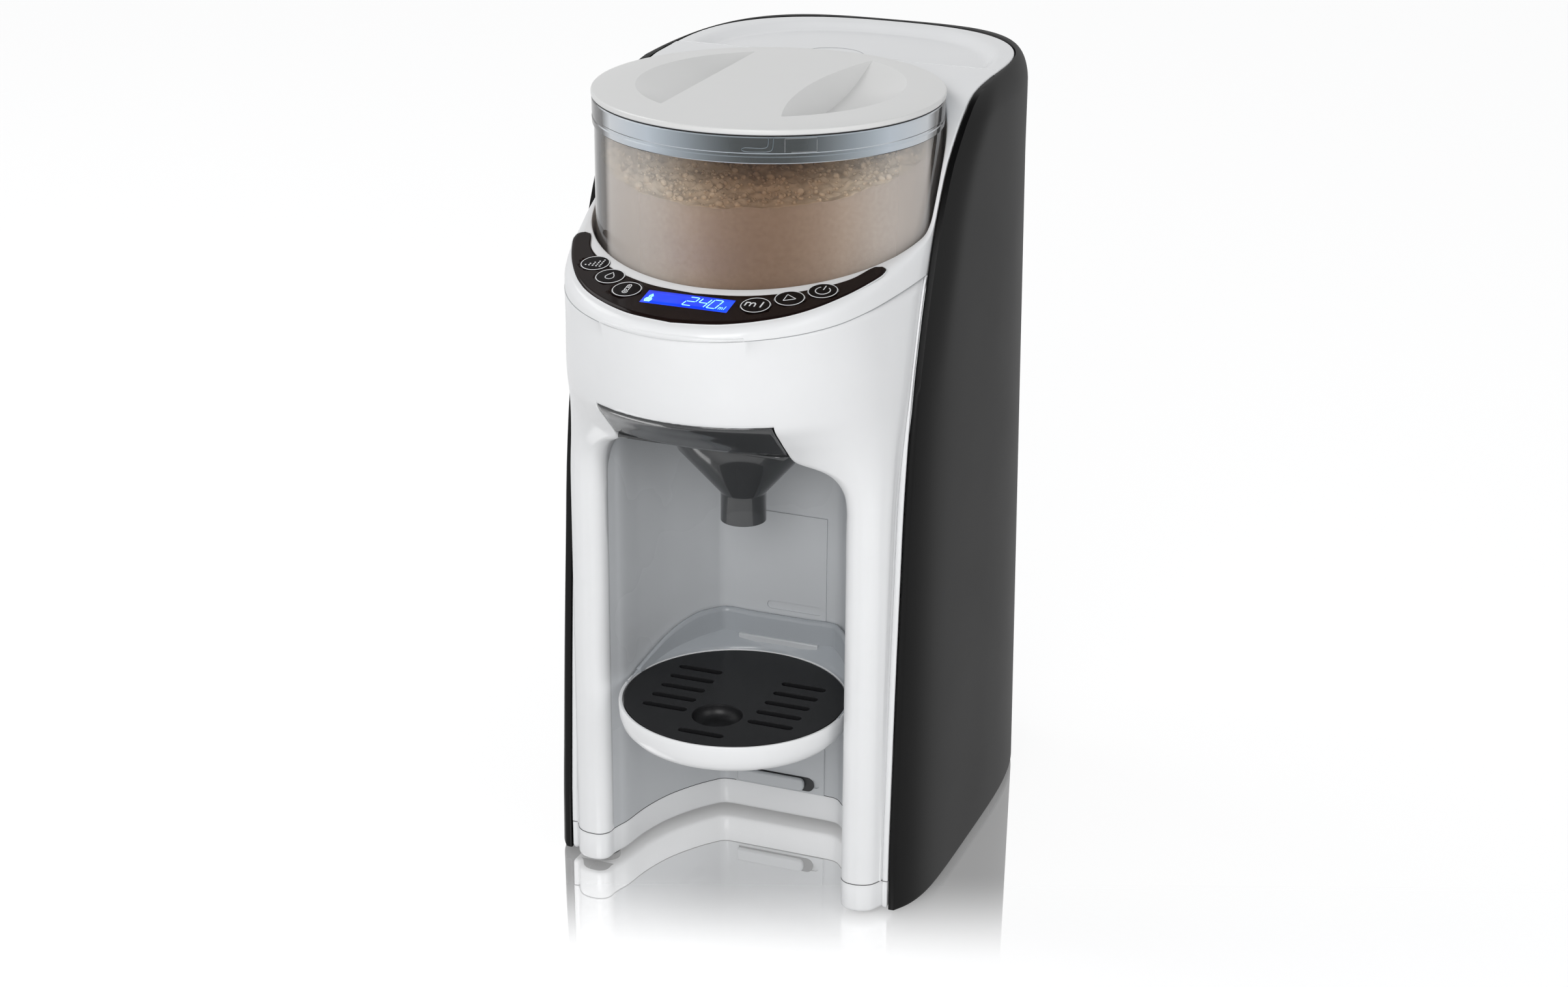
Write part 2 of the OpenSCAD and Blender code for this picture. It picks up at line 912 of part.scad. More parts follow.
module water_tank() {
    color([0.2, 0.2, 0.21, 0.7])
        placed()
            difference() {
                union() {
                    translate([0, 0, dock_z + 2])
                        linear_extrude(327 - dock_z)
                            tank_plan(0);
                    translate([-35.6, 168, dock_z + 2])
                        cube([71.2, 9.8, deck_z - dock_z - 3]);
                }
                translate([0, 0, dock_z + 4.4])
                    linear_extrude(300)
                        tank_plan(2.4);
                translate([-33.2, 160, dock_z + 4.4])
                    cube([66.4, 15.4, 324.6 - dock_z]);
                translate([-60, 90, 329.01])
                    cube([120, rear_y + gap - 90, 50]);
                translate([0, 120, dock_z - 5])
                    cylinder(r = 6, h = 20);
            }
}

module cover_plan(d) {
    half = rear_corner(white_x - d, rear_y - d, 46 - d, 8);
    front = split_y + gap / 2 + 0.8 * d;
    polygon(concat([[-white_x + d, front], [white_x - d, front]], half, mirrored(backwards(half))));
}

module tank_cover() {
    color([0.95, 0.95, 0.95])
        placed()
            difference() {
                translate([0, 0, 329.2])
                    linear_extrude(deck_z - 329.2)
                        cover_plan(0);
                translate([0, 0, 328])
                    linear_extrude(deck_z - dish_d - wall - 328)
                        cover_plan(wall);
                hull() {
                    translate([0, 0, deck_z + eps])
                        linear_extrude(1)
                            cover_plan(3);
                    translate([0, 0, deck_z - dish_d])
                        linear_extrude(1)
                            cover_plan(15);
                }
                translate([-7, split_y, deck_z - dish_d - 0.5])
                    linear_extrude(2)
                        difference() {
                            circle(15.3);
                            circle(14.8);
                        }
            }
}

module tank_valve() {
    color([0.8, 0.8, 0.82])
        placed()
            translate([0, 120, dock_z]) {
                translate([0, 0, -2])
                    cylinder(r = 5.93, h = 7);
                translate([0, 0, 4.5])
                    cylinder(r = 9, h = 2);
            }
}

module tank_seal() {
    color([0.2, 0.2, 0.2])
        placed()
            translate([0, 120, dock_z - 6])
                tube(12.8, 6.4, 7.6);
}

module heater() {
    color([0.75, 0.76, 0.78])
        placed()
            translate([0, 62, 100]) {
                cylinder(r = 20, h = 80);
                for (s = [-1, 1])
                    translate([s * 9, 0, -8])
                        cylinder(r = 3, h = 96);
            }
}

module pump() {
    color([0.2, 0.2, 0.22])
        placed() {
            translate([-20, 45, 20])
                cube([40, 34, 40]);
            translate([-9, 62, 59.9])
                cylinder(r = 3, h = 8);
            translate([0, 78.9, 40])
                rotate([-90, 0, 0])
                    cylinder(r = 3, h = 6);
        }
}

module water_tubes() {
    color([0.85, 0.88, 0.9, 0.7])
        placed() {
            translate([-9, 62, 68.2])
                cylinder(r = 3, h = 23.6);
            translate([9, 62, 188.2])
                cylinder(r = 3, h = 45.8);
            translate([9, 62, 234])
                rotate([0, 90, 0])
                    cylinder(r = 3, h = 15);
            translate([0, 85.1, 40])
                rotate([-90, 0, 0])
                    cylinder(r = 3, h = 34.9);
            translate([0, 120, 40])
                cylinder(r = 3, h = 71);
            translate([0, 120, 110.9])
                cylinder(r = 6, h = 1);
        }
}

module outlet_nozzle() {
    color([0.8, 0.8, 0.82])
        placed() {
            translate([24, -2, 226])
                cylinder(r = 3, h = 9);
            translate([24, -4, 234])
                rotate([-90, 0, 0])
                    cylinder(r = 3, h = 62.8);
        }
}

module power_board() {
    color([0.15, 0.4, 0.2])
        placed() {
            translate([-50, 141, base_z + 10])
                cube([100, 1.6, 70]);
            for (i = [0:3])
                translate([-39 + 22 * i, 127, 40])
                    cube([12, 14.1, 14]);
        }
}

module power_inlet() {
    color([0.05, 0.05, 0.05])
        placed()
            difference() {
                translate([-13, 160, 25])
                    cube([26, 17.8, 18]);
                translate([-9, 168, 29])
                    cube([18, 20, 10]);
            }
}

module feet() {
    color([0.15, 0.15, 0.15])
        placed()
            for (p = foot_points)
                translate([p.x, p.y, -foot_h]) {
                    cylinder(r = 6, h = foot_h);
                    cylinder(r = 2, h = foot_h + 3.6);
                }
}

module screws() {
    color([0.7, 0.7, 0.72])
        placed()
            for (p = screw_points)
                translate([p.x, p.y, -2]) {
                    cylinder(r = 3.2, h = 2);
                    cylinder(r = 1.5, h = 11);
                }
}

base_frame();
front_housing();
top_housing();
bay_liner();
rail_panel();
side_shell_left();
side_shell_right();
rear_frame();
rear_cover();
control_panel();
lcd_display();
button_strength();
button_water();
button_heat();
button_unit();
button_start();
button_power();
control_board();
hopper_seat();
drive_plate();
drive_gear();
motor();
motor_pinion();
hopper();
hopper_collar();
powder();
wheel_shaft();
dosing_wheel();
scraper();
hopper_lid();
lid_seal();
funnel();
tray_carrier();
tray_bowl();
tray_plate();
water_tank();
tank_cover();
tank_valve();
tank_seal();
heater();
pump();
water_tubes();
outlet_nozzle();
power_board();
power_inlet();
feet();
screws();
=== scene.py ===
import bpy
import bmesh
import math
import numpy as np
from mathutils import Matrix, Vector, noise


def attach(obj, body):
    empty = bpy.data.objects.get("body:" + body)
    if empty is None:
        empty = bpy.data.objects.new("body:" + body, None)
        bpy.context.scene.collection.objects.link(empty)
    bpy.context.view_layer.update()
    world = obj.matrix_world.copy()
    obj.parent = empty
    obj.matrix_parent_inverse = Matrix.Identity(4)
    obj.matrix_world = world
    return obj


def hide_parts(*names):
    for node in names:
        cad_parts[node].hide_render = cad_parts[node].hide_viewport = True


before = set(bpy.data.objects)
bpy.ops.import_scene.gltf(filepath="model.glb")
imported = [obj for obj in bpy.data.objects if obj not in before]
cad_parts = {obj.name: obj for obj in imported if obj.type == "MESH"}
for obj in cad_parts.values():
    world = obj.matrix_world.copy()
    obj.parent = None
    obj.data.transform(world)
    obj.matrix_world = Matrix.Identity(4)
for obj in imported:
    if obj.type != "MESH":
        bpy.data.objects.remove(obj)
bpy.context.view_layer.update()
print("frame loaded with", len(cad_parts), "nodes")

scene = bpy.context.scene
scene.view_settings.view_transform = "Standard"


# Sizes are millimetres from the middle of the front: x right, y back, z up from the leg bottoms
origin = Vector((0, 42.5, -3))  # the shared frame's origin in these measures


def place(x, y, z):
    return Vector((x / 1000, (y - origin.y) / 1000, (z - origin.z) / 1000))


def measured(co):  # the way back, with the right half standing for both
    return (abs(co.x) * 1000, co.y * 1000 + origin.y, co.z * 1000 + origin.z)


def mix(a, b, t):
    return a + (b - a) * t


def clamp(v, low=0.0, high=1.0):
    return max(low, min(high, v))


def ease(v, a, b):
    t = clamp((v - a) / (b - a))
    return t * t * (3 - 2 * t)


def rowAt(v, count):  # nearest row or column of a grid
    return min(int(round(v * count)), count)


def arcPoints(x, y, r, start, end, count):
    return [(x + r * math.cos(a), y + r * math.sin(a)) for a in np.radians(np.linspace(start, end, count))]


def curveThrough(points):  # smooth one-way curve through a few points
    xs = [float(p[0]) for p in points]
    ys = [float(p[1]) for p in points]
    steps = [xs[i + 1] - xs[i] for i in range(len(xs) - 1)]
    slopes = [(ys[i + 1] - ys[i]) / steps[i] for i in range(len(steps))]
    ends = [slopes[0]]
    for i in range(1, len(slopes)):
        a, b = slopes[i - 1], slopes[i]
        if a * b <= 0:
            ends.append(0.0)
        else:
            w1 = 2 * steps[i] + steps[i - 1]
            w2 = steps[i] + 2 * steps[i - 1]
            ends.append((w1 + w2) / (w1 / a + w2 / b))
    ends.append(slopes[-1])

    def at(x):
        x = clamp(x, xs[0], xs[-1])
        i = min(int(np.searchsorted(xs, x, side="right")) - 1, len(steps) - 1)
        t = (x - xs[i]) / steps[i]
        a = (1 + 2 * t) * (1 - t) ** 2 * ys[i] + t * (1 - t) ** 2 * steps[i] * ends[i]
        return a + t * t * (3 - 2 * t) * ys[i + 1] + t * t * (t - 1) * steps[i] * ends[i + 1]

    return at


def pathThrough(points, parts):  # Catmull-Rom line through points
    out = []
    for i in range(len(points) - 1):
        p = [points[max(i - 1, 0)], points[i], points[i + 1], points[min(i + 2, len(points) - 1)]]
        for k in range(parts):
            t = k / parts
            out.append(tuple(
                0.5 * (2 * b + (c - a) * t + (2 * a - 5 * b + 4 * c - d) * t * t
                       + (3 * b - a - 3 * c + d) * t ** 3)
                for a, b, c, d in zip(*p)))
    out.append(tuple(points[-1]))
    return out


# ---- making pieces ----

def mappedGrid(across, along, where):  # a grid whose points go where the function says
    bm = bmesh.new()
    bmesh.ops.create_grid(bm, x_segments=across, y_segments=along, size=0.5)
    for v in bm.verts:
        v.co = place(*where(v.co.x + 0.5, v.co.y + 0.5))
    bmesh.ops.remove_doubles(bm, verts=bm.verts, dist=2e-6)
    bmesh.ops.recalc_face_normals(bm, faces=bm.faces)
    return bm


def lathed(profile, centre, steps=96):  # a profile turned round an upright axis
    bm = bmesh.new()
    verts = [bm.verts.new(place(centre[0] + r, centre[1], z)) for r, z in profile]
    edges = [bm.edges.new((verts[i], verts[i + 1])) for i in range(len(verts) - 1)]
    bmesh.ops.spin(bm, geom=verts + edges, cent=place(centre[0], centre[1], 0), axis=(0, 0, 1),
                   angle=math.tau, steps=steps, use_merge=True)
    bmesh.ops.remove_doubles(bm, verts=bm.verts, dist=2e-6)
    bmesh.ops.recalc_face_normals(bm, faces=bm.faces)
    return bm


def tubeAlong(points, radius, sides=6, closed=False, flat=1.0):  # thin round line
    pts = [Vector(p) for p in points]
    count = len(pts) if closed else len(pts) - 1

    def where(u, v):
        f = clamp(u * count, 0, count)
        i = min(int(f), count - 1)
        a, b = pts[i], pts[(i + 1) % len(pts)]
        i0 = (i - 1) % len(pts) if closed else max(i - 1, 0)
        i1 = (i + 2) % len(pts) if closed else min(i + 2, len(pts) - 1)
        d = mix((b - pts[i0]).normalized(), (pts[i1] - a).normalized(), f - i).normalized()
        side = d.cross(Vector((0, -0.196, 0.981)))
        side = side.normalized() if side.length > 1e-4 else Vector((1, 0, 0))
        up = side.cross(d).normalized()
        q = a.lerp(b, f - i)
        w = v * math.tau
        return q + radius * (math.cos(w) * side + flat * math.sin(w) * up)

    bm = mappedGrid(count, sides, where)
    if not closed:
        bmesh.ops.holes_fill(bm, edges=[e for e in bm.edges if e.is_boundary], sides=0)
    bmesh.ops.recalc_face_normals(bm, faces=bm.faces)
    return bm


def joinMeshes(*parts):
    bm = bmesh.new()
    for p in parts:
        mesh = bpy.data.meshes.new("part")
        p.to_mesh(mesh)
        p.free()
        bm.from_mesh(mesh)
        bpy.data.meshes.remove(mesh)
    return bm


def mirrorCopy(bm):  # adds the other half across the middle plane
    half = bm.copy()
    for v in half.verts:
        v.co.x = -v.co.x
    bmesh.ops.reverse_faces(half, faces=half.faces)
    bm = joinMeshes(bm, half)
    bmesh.ops.remove_doubles(bm, verts=bm.verts, dist=2e-6)
    return bm


def pushed(bm, faces, shift):  # gives flat faces a thickness
    made = bmesh.ops.extrude_face_region(bm, geom=faces)["geom"]
    verts = [g for g in made if isinstance(g, bmesh.types.BMVert)]
    bmesh.ops.translate(bm, verts=verts, vec=Vector(shift) / 1000)
    return bm


def slab(points, shift):
    bm = bmesh.new()
    return pushed(bm, [bm.faces.new([bm.verts.new(place(*p)) for p in points])], shift)


def looseObject(name, bm):
    mesh = bpy.data.meshes.new(name)
    bm.to_mesh(mesh)
    bm.free()
    obj = bpy.data.objects.new(name, mesh)
    scene.collection.objects.link(obj)
    return obj


def smoothed(mesh, sharp):
    for p in mesh.polygons:
        p.use_smooth = True
    mesh.set_sharp_from_angle(angle=math.radians(sharp))


def addPiece(name, bm, body, material, wall=0.0, sharp=38, bevel=0.0, facing=None):
    bmesh.ops.remove_doubles(bm, verts=bm.verts, dist=1e-6)
    bmesh.ops.recalc_face_normals(bm, faces=bm.faces)
    if facing and sum((f.normal * f.calc_area() for f in bm.faces), Vector()).dot(Vector(facing)) < 0:
        bmesh.ops.reverse_faces(bm, faces=bm.faces)
    obj = looseObject(name, bm)
    smoothed(obj.data, sharp)
    obj.data.materials.append(material)
    if wall:
        shell = obj.modifiers.new("wall", "SOLIDIFY")
        shell.thickness = wall / 1000
        shell.offset = -1
        shell.use_even_offset = False
    if bevel:
        edge = obj.modifiers.new("edge", "BEVEL")
        edge.width = bevel / 1000
        edge.segments = 2
        edge.angle_limit = math.radians(40)
    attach(obj, body)
    return obj


def addBoolean(obj, operation, other):
    cut = obj.modifiers.new("cut", "BOOLEAN")
    cut.operation = operation
    cut.solver = "EXACT"
    cut.object = other


def cutAway(skin, cutters, helpers=()):  # takes the cutters out of a piece for good
    for cutter in cutters:
        addBoolean(skin, "DIFFERENCE", cutter)
    bpy.context.view_layer.update()
    cutMesh = bpy.data.meshes.new_from_object(skin.evaluated_get(bpy.context.evaluated_depsgraph_get()))
    skin.modifiers.clear()
    skin.data = cutMesh
    for obj in (*cutters, *helpers):
        bpy.data.objects.remove(obj)


# ---- materials ----

def nodesOf(name):
    mat = bpy.data.materials.new(name)
    mat.use_nodes = True
    return mat, mat.node_tree, mat.node_tree.nodes["Principled BSDF"]


def outputOf(tree):
    return tree.nodes["Material Output"].inputs["Surface"]


def addNode(tree, kind, **values):
    node = tree.nodes.new("ShaderNode" + kind)
    for key, value in values.items():
        node.inputs[key.replace("_", " ")].default_value = value
    return node


def rampOf(tree, source, stops, blending="LINEAR"):  # a stop is a place and a grey or a colour
    ramp = addNode(tree, "ValToRGB")
    elements = ramp.color_ramp.elements
    ramp.color_ramp.interpolation = blending
    while len(elements) < len(stops):
        elements.new(0.5)
    for i, (at, value) in enumerate(stops):
        elements[i].position = at
        elements[i].color = (*(value if isinstance(value, tuple) else (value,) * 3), 1)
    tree.links.new(source, ramp.inputs["Fac"])
    return ramp.outputs["Color"]


def noiseOf(tree, grain, **values):  # noise that stays with the object
    pattern = addNode(tree, "TexNoise", Scale=grain, **values)
    tree.links.new(addNode(tree, "TexCoord").outputs["Object"], pattern.inputs["Vector"])
    return pattern.outputs["Fac"]


def rangeOf(tree, source, low, high):
    span = addNode(tree, "MapRange", To_Min=low, To_Max=high)
    tree.links.new(source, span.inputs["Value"])
    return span.outputs["Result"]


def mixShaders(tree, share, first, second):
    both = addNode(tree, "MixShader")
    if isinstance(share, float):
        both.inputs["Fac"].default_value = share
    else:
        tree.links.new(share, both.inputs["Fac"])
    tree.links.new(first, both.inputs[1])
    tree.links.new(second, both.inputs[2])
    return both.outputs["Shader"]


def finish(name, colour, shade, rough=0.3, grain=60, bump=0.0, metal=0.0, coat=0.0, edge=0.0, dull=0.0):
    # two close colours mixed by fine noise, with slightly uneven roughness
    mat, tree, surface = nodesOf(name)
    link, into = tree.links.new, surface.inputs
    pattern = noiseOf(tree, grain, Detail=4)
    tint = rampOf(tree, pattern, [(0.3, shade), (0.7, colour)])
    link(tint, into["Base Color"])
    link(rangeOf(tree, pattern, rough * 0.85, min(1, rough * 1.15)), into["Roughness"])
    into["Metallic"].default_value = metal
    if coat:
        into["Coat Weight"].default_value = coat
        into["Coat Roughness"].default_value = 0.04
    normal = None
    if edge:
        rounded = addNode(tree, "Bevel", Radius=edge / 1000)
        rounded.samples = 4
        normal = rounded.outputs["Normal"]
    if bump:
        relief = addNode(tree, "Bump", Strength=bump, Distance=0.0003)
        link(pattern, relief.inputs["Height"])
        if normal:
            link(normal, relief.inputs["Normal"])
        normal = relief.outputs["Normal"]
    if normal:
        link(normal, into["Normal"])
    if dull:  # part of the surface without gloss, for plastics that mirror little
        matt = addNode(tree, "BsdfDiffuse")
        link(tint, matt.inputs["Color"])
        link(mixShaders(tree, dull, surface.outputs["BSDF"], matt.outputs["BSDF"]), outputOf(tree))
    return mat


def acrylic(name, paintedReflection, shares, gloss=0.05, through=((0, 1), (1, 1))):
    # clear plastic with painted reflection: the base colour, set by facing, is pale towards the sides and dark at the
    # very edge, standing in for reflections of a pale room; little of it shows in the middle
    mat, tree, surface = nodesOf(name)
    link = tree.links.new
    facing = addNode(tree, "LayerWeight", Blend=0.5).outputs["Facing"]
    link(rangeOf(tree, noiseOf(tree, 30), gloss * 0.6, gloss * 1.4), surface.inputs["Roughness"])
    # painted reflection: pale or dark base colour chosen by how squarely the surface faces the view
    link(rampOf(tree, facing, paintedReflection), surface.inputs["Base Color"])
    surface.inputs["Specular IOR Level"].default_value = 0.3
    clear = addNode(tree, "BsdfTransparent")
    link(rampOf(tree, facing, through), clear.inputs["Color"])
    share = rampOf(tree, facing, shares, "B_SPLINE")
    link(mixShaders(tree, share, clear.outputs["BSDF"], surface.outputs["BSDF"]), outputOf(tree))
    return mat


def clearFinish(name, colour, shade, through, gloss=0.05, lift=1.0):
    # tinted see-through plastic: light goes straight through, the surface keeps its gloss
    mat, tree, surface = nodesOf(name)
    link = tree.links.new
    link(rampOf(tree, noiseOf(tree, 40), [(0, shade), (1, colour)]), surface.inputs["Base Color"])
    surface.inputs["Roughness"].default_value = gloss
    surface.inputs["Coat Weight"].default_value = lift
    surface.inputs["Coat Roughness"].default_value = 0.03
    clear = addNode(tree, "BsdfTransparent", Color=(*[mix(1, c, 0.25) for c in colour], 1))
    facing = addNode(tree, "LayerWeight", Blend=0.25).outputs["Facing"]
    share = rangeOf(tree, facing, 1 - through, min(1, 1 - through + 0.55))
    link(mixShaders(tree, share, clear.outputs["BSDF"], surface.outputs["BSDF"]), outputOf(tree))
    return mat


def glowing(name, low, high, grain, strength, rough=0.5):  # low and high are a place and a colour
    mat, tree, surface = nodesOf(name)
    tint = rampOf(tree, noiseOf(tree, grain), [low, high])
    for key in ("Base Color", "Emission Color"):
        tree.links.new(tint, surface.inputs[key])
    surface.inputs["Emission Strength"].default_value = strength
    surface.inputs["Roughness"].default_value = rough
    return mat


whiteGloss = finish("whiteGloss", (0.84, 0.845, 0.85), (0.82, 0.825, 0.83), rough=0.18, coat=0.2, grain=30, dull=0.5)
# coolWhite: the bay's own cool grey-white, set darker as painted shade of the deep bay
coolWhite = finish("coolWhite", (0.55, 0.565, 0.58), (0.54, 0.555, 0.57), rough=0.28, coat=0.2, grain=8, dull=0.5)
blackGloss = finish("blackGloss", (0.003, 0.003, 0.0031), (0.0022, 0.0022, 0.0023), rough=0.3, grain=20, dull=0.68)
lineDark = finish("lineDark", (0.02, 0.02, 0.022), (0.015, 0.015, 0.017), rough=0.5)
greyLine = finish("greyLine", (0.36, 0.37, 0.38), (0.32, 0.33, 0.34), rough=0.5)
panelGloss = finish("panelGloss", (0.011, 0.0055, 0.0045), (0.008, 0.004, 0.0035), rough=0.12, dull=0.78, coat=0.3)
buttonGloss = finish("buttonGloss", (0.007, 0.005, 0.005), (0.005, 0.004, 0.004), rough=0.15, dull=0.8)
paleLine = finish("paleLine", (0.82, 0.83, 0.84), (0.78, 0.79, 0.8), rough=0.35)
plateDark = finish("plateDark", (0.016, 0.016, 0.017), (0.012, 0.012, 0.013), rough=0.34, bump=0.05, grain=900,
                   edge=0.4, dull=0.5)
print("materials ready")


# ---- lines shared by the white front, the top and the black shells ----

deckZ = 342.3
seamLine = curveThrough([(-4, -30.1), (0, -30), (25, -29.7), (50, -28.5), (75, -27.3), (100, -25.9), (125, -24.3),
                         (150, -22.5), (175, -20.8), (206, -17), (217, -15), (227, -13), (238, -10.5),
                         (248, -7.5), (258, -4.5), (268, -1), (278, 3), (288, 7), (298, 12), (307, 17.5),
                         (317, 24.5), (325, 33), (334, 45), (340, 57), (341.6, 68), (342.3, 84)])
topLine = curveThrough([(-120, 268), (-20, 288), (0, 292), (6, 293.6), (11, 297), (17.5, 307), (24.5, 317),
                        (33, 325.3), (45, 333.8), (58, 339.8), (75, 342.1), (96, deckZ), (180, deckZ)])
front = {"seam": 277, "slope": 0.08, "strip": 72.0, "edge": 74.9, "windowX": 38.2, "windowTop": 231.9, "round": 6.0}
noseEnd = 11  # the front's curve runs from 0 in the middle to here
chinShare = curveThrough([(170, 0), (182, 0.005), (190, 0.06), (200, 0.25), (214.3, 0.58), (223, 0.8),
                          (231.6, 0.97), (240, 1)])
headRadius = curveThrough([(180, 73.5), (232, 72), (270, 68), (280, 67.6)])
headMiddle = curveThrough([(180, -4), (232, -14.3), (270, -24), (280, -25.5)])
legX = curveThrough([(0, 0), (6, 46.7), (8, 62.3), (9, 66.2), (10, 69.4), (11, 71.4)])
legY = curveThrough([(0, -37.4), (8, -37.4), (9, -36.6), (10, -34.3), (11, -30.9)])
archEdge = pathThrough([(54.7, -40), (54.7, 60), (54.7, 120), (54.7, 172), (54.7, 184), (54, 192), (51.4, 198.6),
                        (47.2, 203.6), (42.6, 206.6), (39.6, 209), (38.5, 212), (38.2, 216), (38.2, 226),
                        (38.2, 244)], 10)
archX = curveThrough([(z, x) for x, z in archEdge])
archStep = 0.4
archPoints = np.array([(archX(z), z) for z in np.arange(10, front["windowTop"], archStep)]
                      + [(x, front["windowTop"]) for x in np.arange(front["windowX"], -archStep, -archStep)])


def frontPoint(k, z):  # k runs from the middle round the nose of the leg
    share = chinShare(z)
    a = math.radians(-90 + 7 * k)
    r = headRadius(z)
    return (mix(legX(k), r * math.cos(a), share), mix(legY(k), headMiddle(z) + r * math.sin(a), share))


def kAt(x, z):
    low, high = 0.0, float(noseEnd)
    for _ in range(22):
        k = (low + high) / 2
        if frontPoint(k, z)[0] < x:
            low = k
        else:
            high = k
    return low


def edgeDistance(x, z):
    return float(np.min(np.hypot(archPoints[:, 0] - abs(x), archPoints[:, 1] - z)))


def edgeDrop(x, z):  # how far the sheet rolls back near the arch and the window
    d = edgeDistance(x, z)
    r = mix(front["round"], 0.9, ease(z, 199, 213))
    return r - math.sqrt(max(0.0, r * r - max(0.0, r - d) ** 2)) if d < r else 0.0


def frontTop(y):
    return front["seam"] + front["slope"] * y - 0.15


# rows of the front, close together at the chin; the last row ends on the sloping seam
rowHeights = sorted({13.5, 14, 16, 30, 60, 90, 120, 150, 165, 175, *[round(180 + 1.6 * i, 2) for i in range(33)],
                     231.9, 232.6, 234, 238, 243, 249, 256, 263, 270})
windowRows = [z for z in rowHeights if z >= front["windowTop"] - 0.1]
seamRow = 272.0


groove = [(0, -0.9), (0.1, 0.3), (0.35, 0.9), (0.6, 0.3), (0.8, 0.05), (1.9, 0), (2.6, 0.05), (2.85, 0.35), (2.9, 1.6)]


def sideSheet(u, v):  # leg, cheek and the grooved strip beside the black shell
    i = rowAt(v, len(rowHeights))
    last = i == len(rowHeights)
    z = seamRow if last else rowHeights[i]
    inner = archX(z) if z < 240 else front["windowX"]
    k0 = kAt(inner, z)
    s = seamLine(z)
    stripX = mix(front["strip"], 73.9, chinShare(z))
    if u < 0.64:
        t = (u / 0.64) ** 1.45
        x, y = frontPoint(mix(k0, noseEnd, t), z)
        if u < 1e-6:
            x = inner
        y += edgeDrop(x, z)
    else:
        a, b = frontPoint(noseEnd - 0.2, z), frontPoint(noseEnd, z)
        n = math.hypot(b[0] - a[0], b[1] - a[1])
        t = clamp((u - 0.64) / 0.2)
        reach = math.hypot(stripX - b[0], s - 1 - b[1])
        c = (b[0] + (b[0] - a[0]) / n * reach * 0.45, b[1] + (b[1] - a[1]) / n * reach * 0.45)
        x = (1 - t) ** 2 * b[0] + 2 * t * (1 - t) * c[0] + t * t * stripX
        y = (1 - t) ** 2 * b[1] + 2 * t * (1 - t) * c[1] + t * t * (s - 0.9)
        if u > 0.85:
            across, back = groove[min(int(round((u - 0.84) / 0.02)), len(groove) - 1)]
            widen = (front["edge"] + 0.1 - stripX) / groove[-1][0]
            x, y = stripX + across * widen, s + back
    if last:
        z = frontTop(y)
        if u >= 0.64:
            y += clamp((u - 0.64) / 0.2) * (seamLine(z) - s)
            z = frontTop(y)
    return (x, y, z)


def centreSheet(u, v):  # between the two cheeks, above the funnel
    i = rowAt(v, len(windowRows))
    last = i == len(windowRows)
    z = seamRow if last else windowRows[i]
    x, y = frontPoint(kAt(front["windowX"], z) * u, z)
    if u > 0.999:
        x = front["windowX"]
    y += edgeDrop(x, z)
    return (x, y, frontTop(y) if last else z)


def onArch(v):
    x, _, z = measured(v.co)
    return edgeDistance(x, z) < 0.4


def flangeBack(bm):  # rolls the arch and window edge straight back
    rim = [e for e in bm.edges if e.is_boundary and all(onArch(v) for v in e.verts)]
    made = bmesh.ops.extrude_edge_only(bm, edges=rim)["geom"]
    for v in [g for g in made if isinstance(g, bmesh.types.BMVert)]:
        x, y, z = measured(v.co)
        depth = mix(-28.2, y + 2.4, ease(z, 206, 213))
        v.co.y = max(v.co.y + 0.0004, place(x, depth, z).y)


whiteFront = joinMeshes(mappedGrid(50, len(rowHeights), sideSheet), mappedGrid(22, len(windowRows), centreSheet))
bmesh.ops.remove_doubles(whiteFront, verts=whiteFront.verts, dist=3e-5)
whiteFront = mirrorCopy(whiteFront)
bmesh.ops.remove_doubles(whiteFront, verts=whiteFront.verts, dist=3e-5)
flangeBack(whiteFront)
bmesh.ops.recalc_face_normals(whiteFront, faces=whiteFront.faces)
frontSkin = addPiece("frontSkin", whiteFront, "housing", whiteGloss, wall=1.6, sharp=50, facing=(0, -1, 0))
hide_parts("front_housing")
print("front skin")


# ---- top of the body: shelf, shoulders, well and front part of the deck ----

top = {"wellR": 73.7, "wellY": 16.9, "wellLow": 256, "halfX": 75.1, "inner": 0.7}
shoulder = 96  # where the deck's front part ends and the tank cover starts
outlinePoints = pathThrough([(0, -92.0), (17.6, -89.7), (34, -82.9), (48.1, -72.1), (58.9, -58), (65.7, -41.6),
                             (70.2, -24), (73.3, -8), (74.9, 4), (75.1, 14), (75.1, 40), (75.1, 70), (75.1, 96.05)], 10)
outlinePoints = [p for p in outlinePoints if p[1] <= shoulder + 0.04]
outlinePoints += [(top["halfX"] * (1 - i / 20), shoulder + 0.05) for i in range(21)]
outlineAngles = np.array([math.atan2(y - top["wellY"], x) for x, y in outlinePoints])
outlineReach = np.array([math.hypot(x, y - top["wellY"]) for x, y in outlinePoints])


def outlineAt(angle):  # rim of the body seen from above, at an angle round the well
    a = math.atan2(math.sin(angle), abs(math.cos(angle)))
    r = float(np.interp(a, outlineAngles, outlineReach))
    return (r * math.cos(angle), top["wellY"] + r * math.sin(angle))


def rimRound(y):
    return mix(mix(3.3, 4.2, ease(y, -80, -40)), 1.0, ease(y, -22, 12)) if y < 90 else 0.5


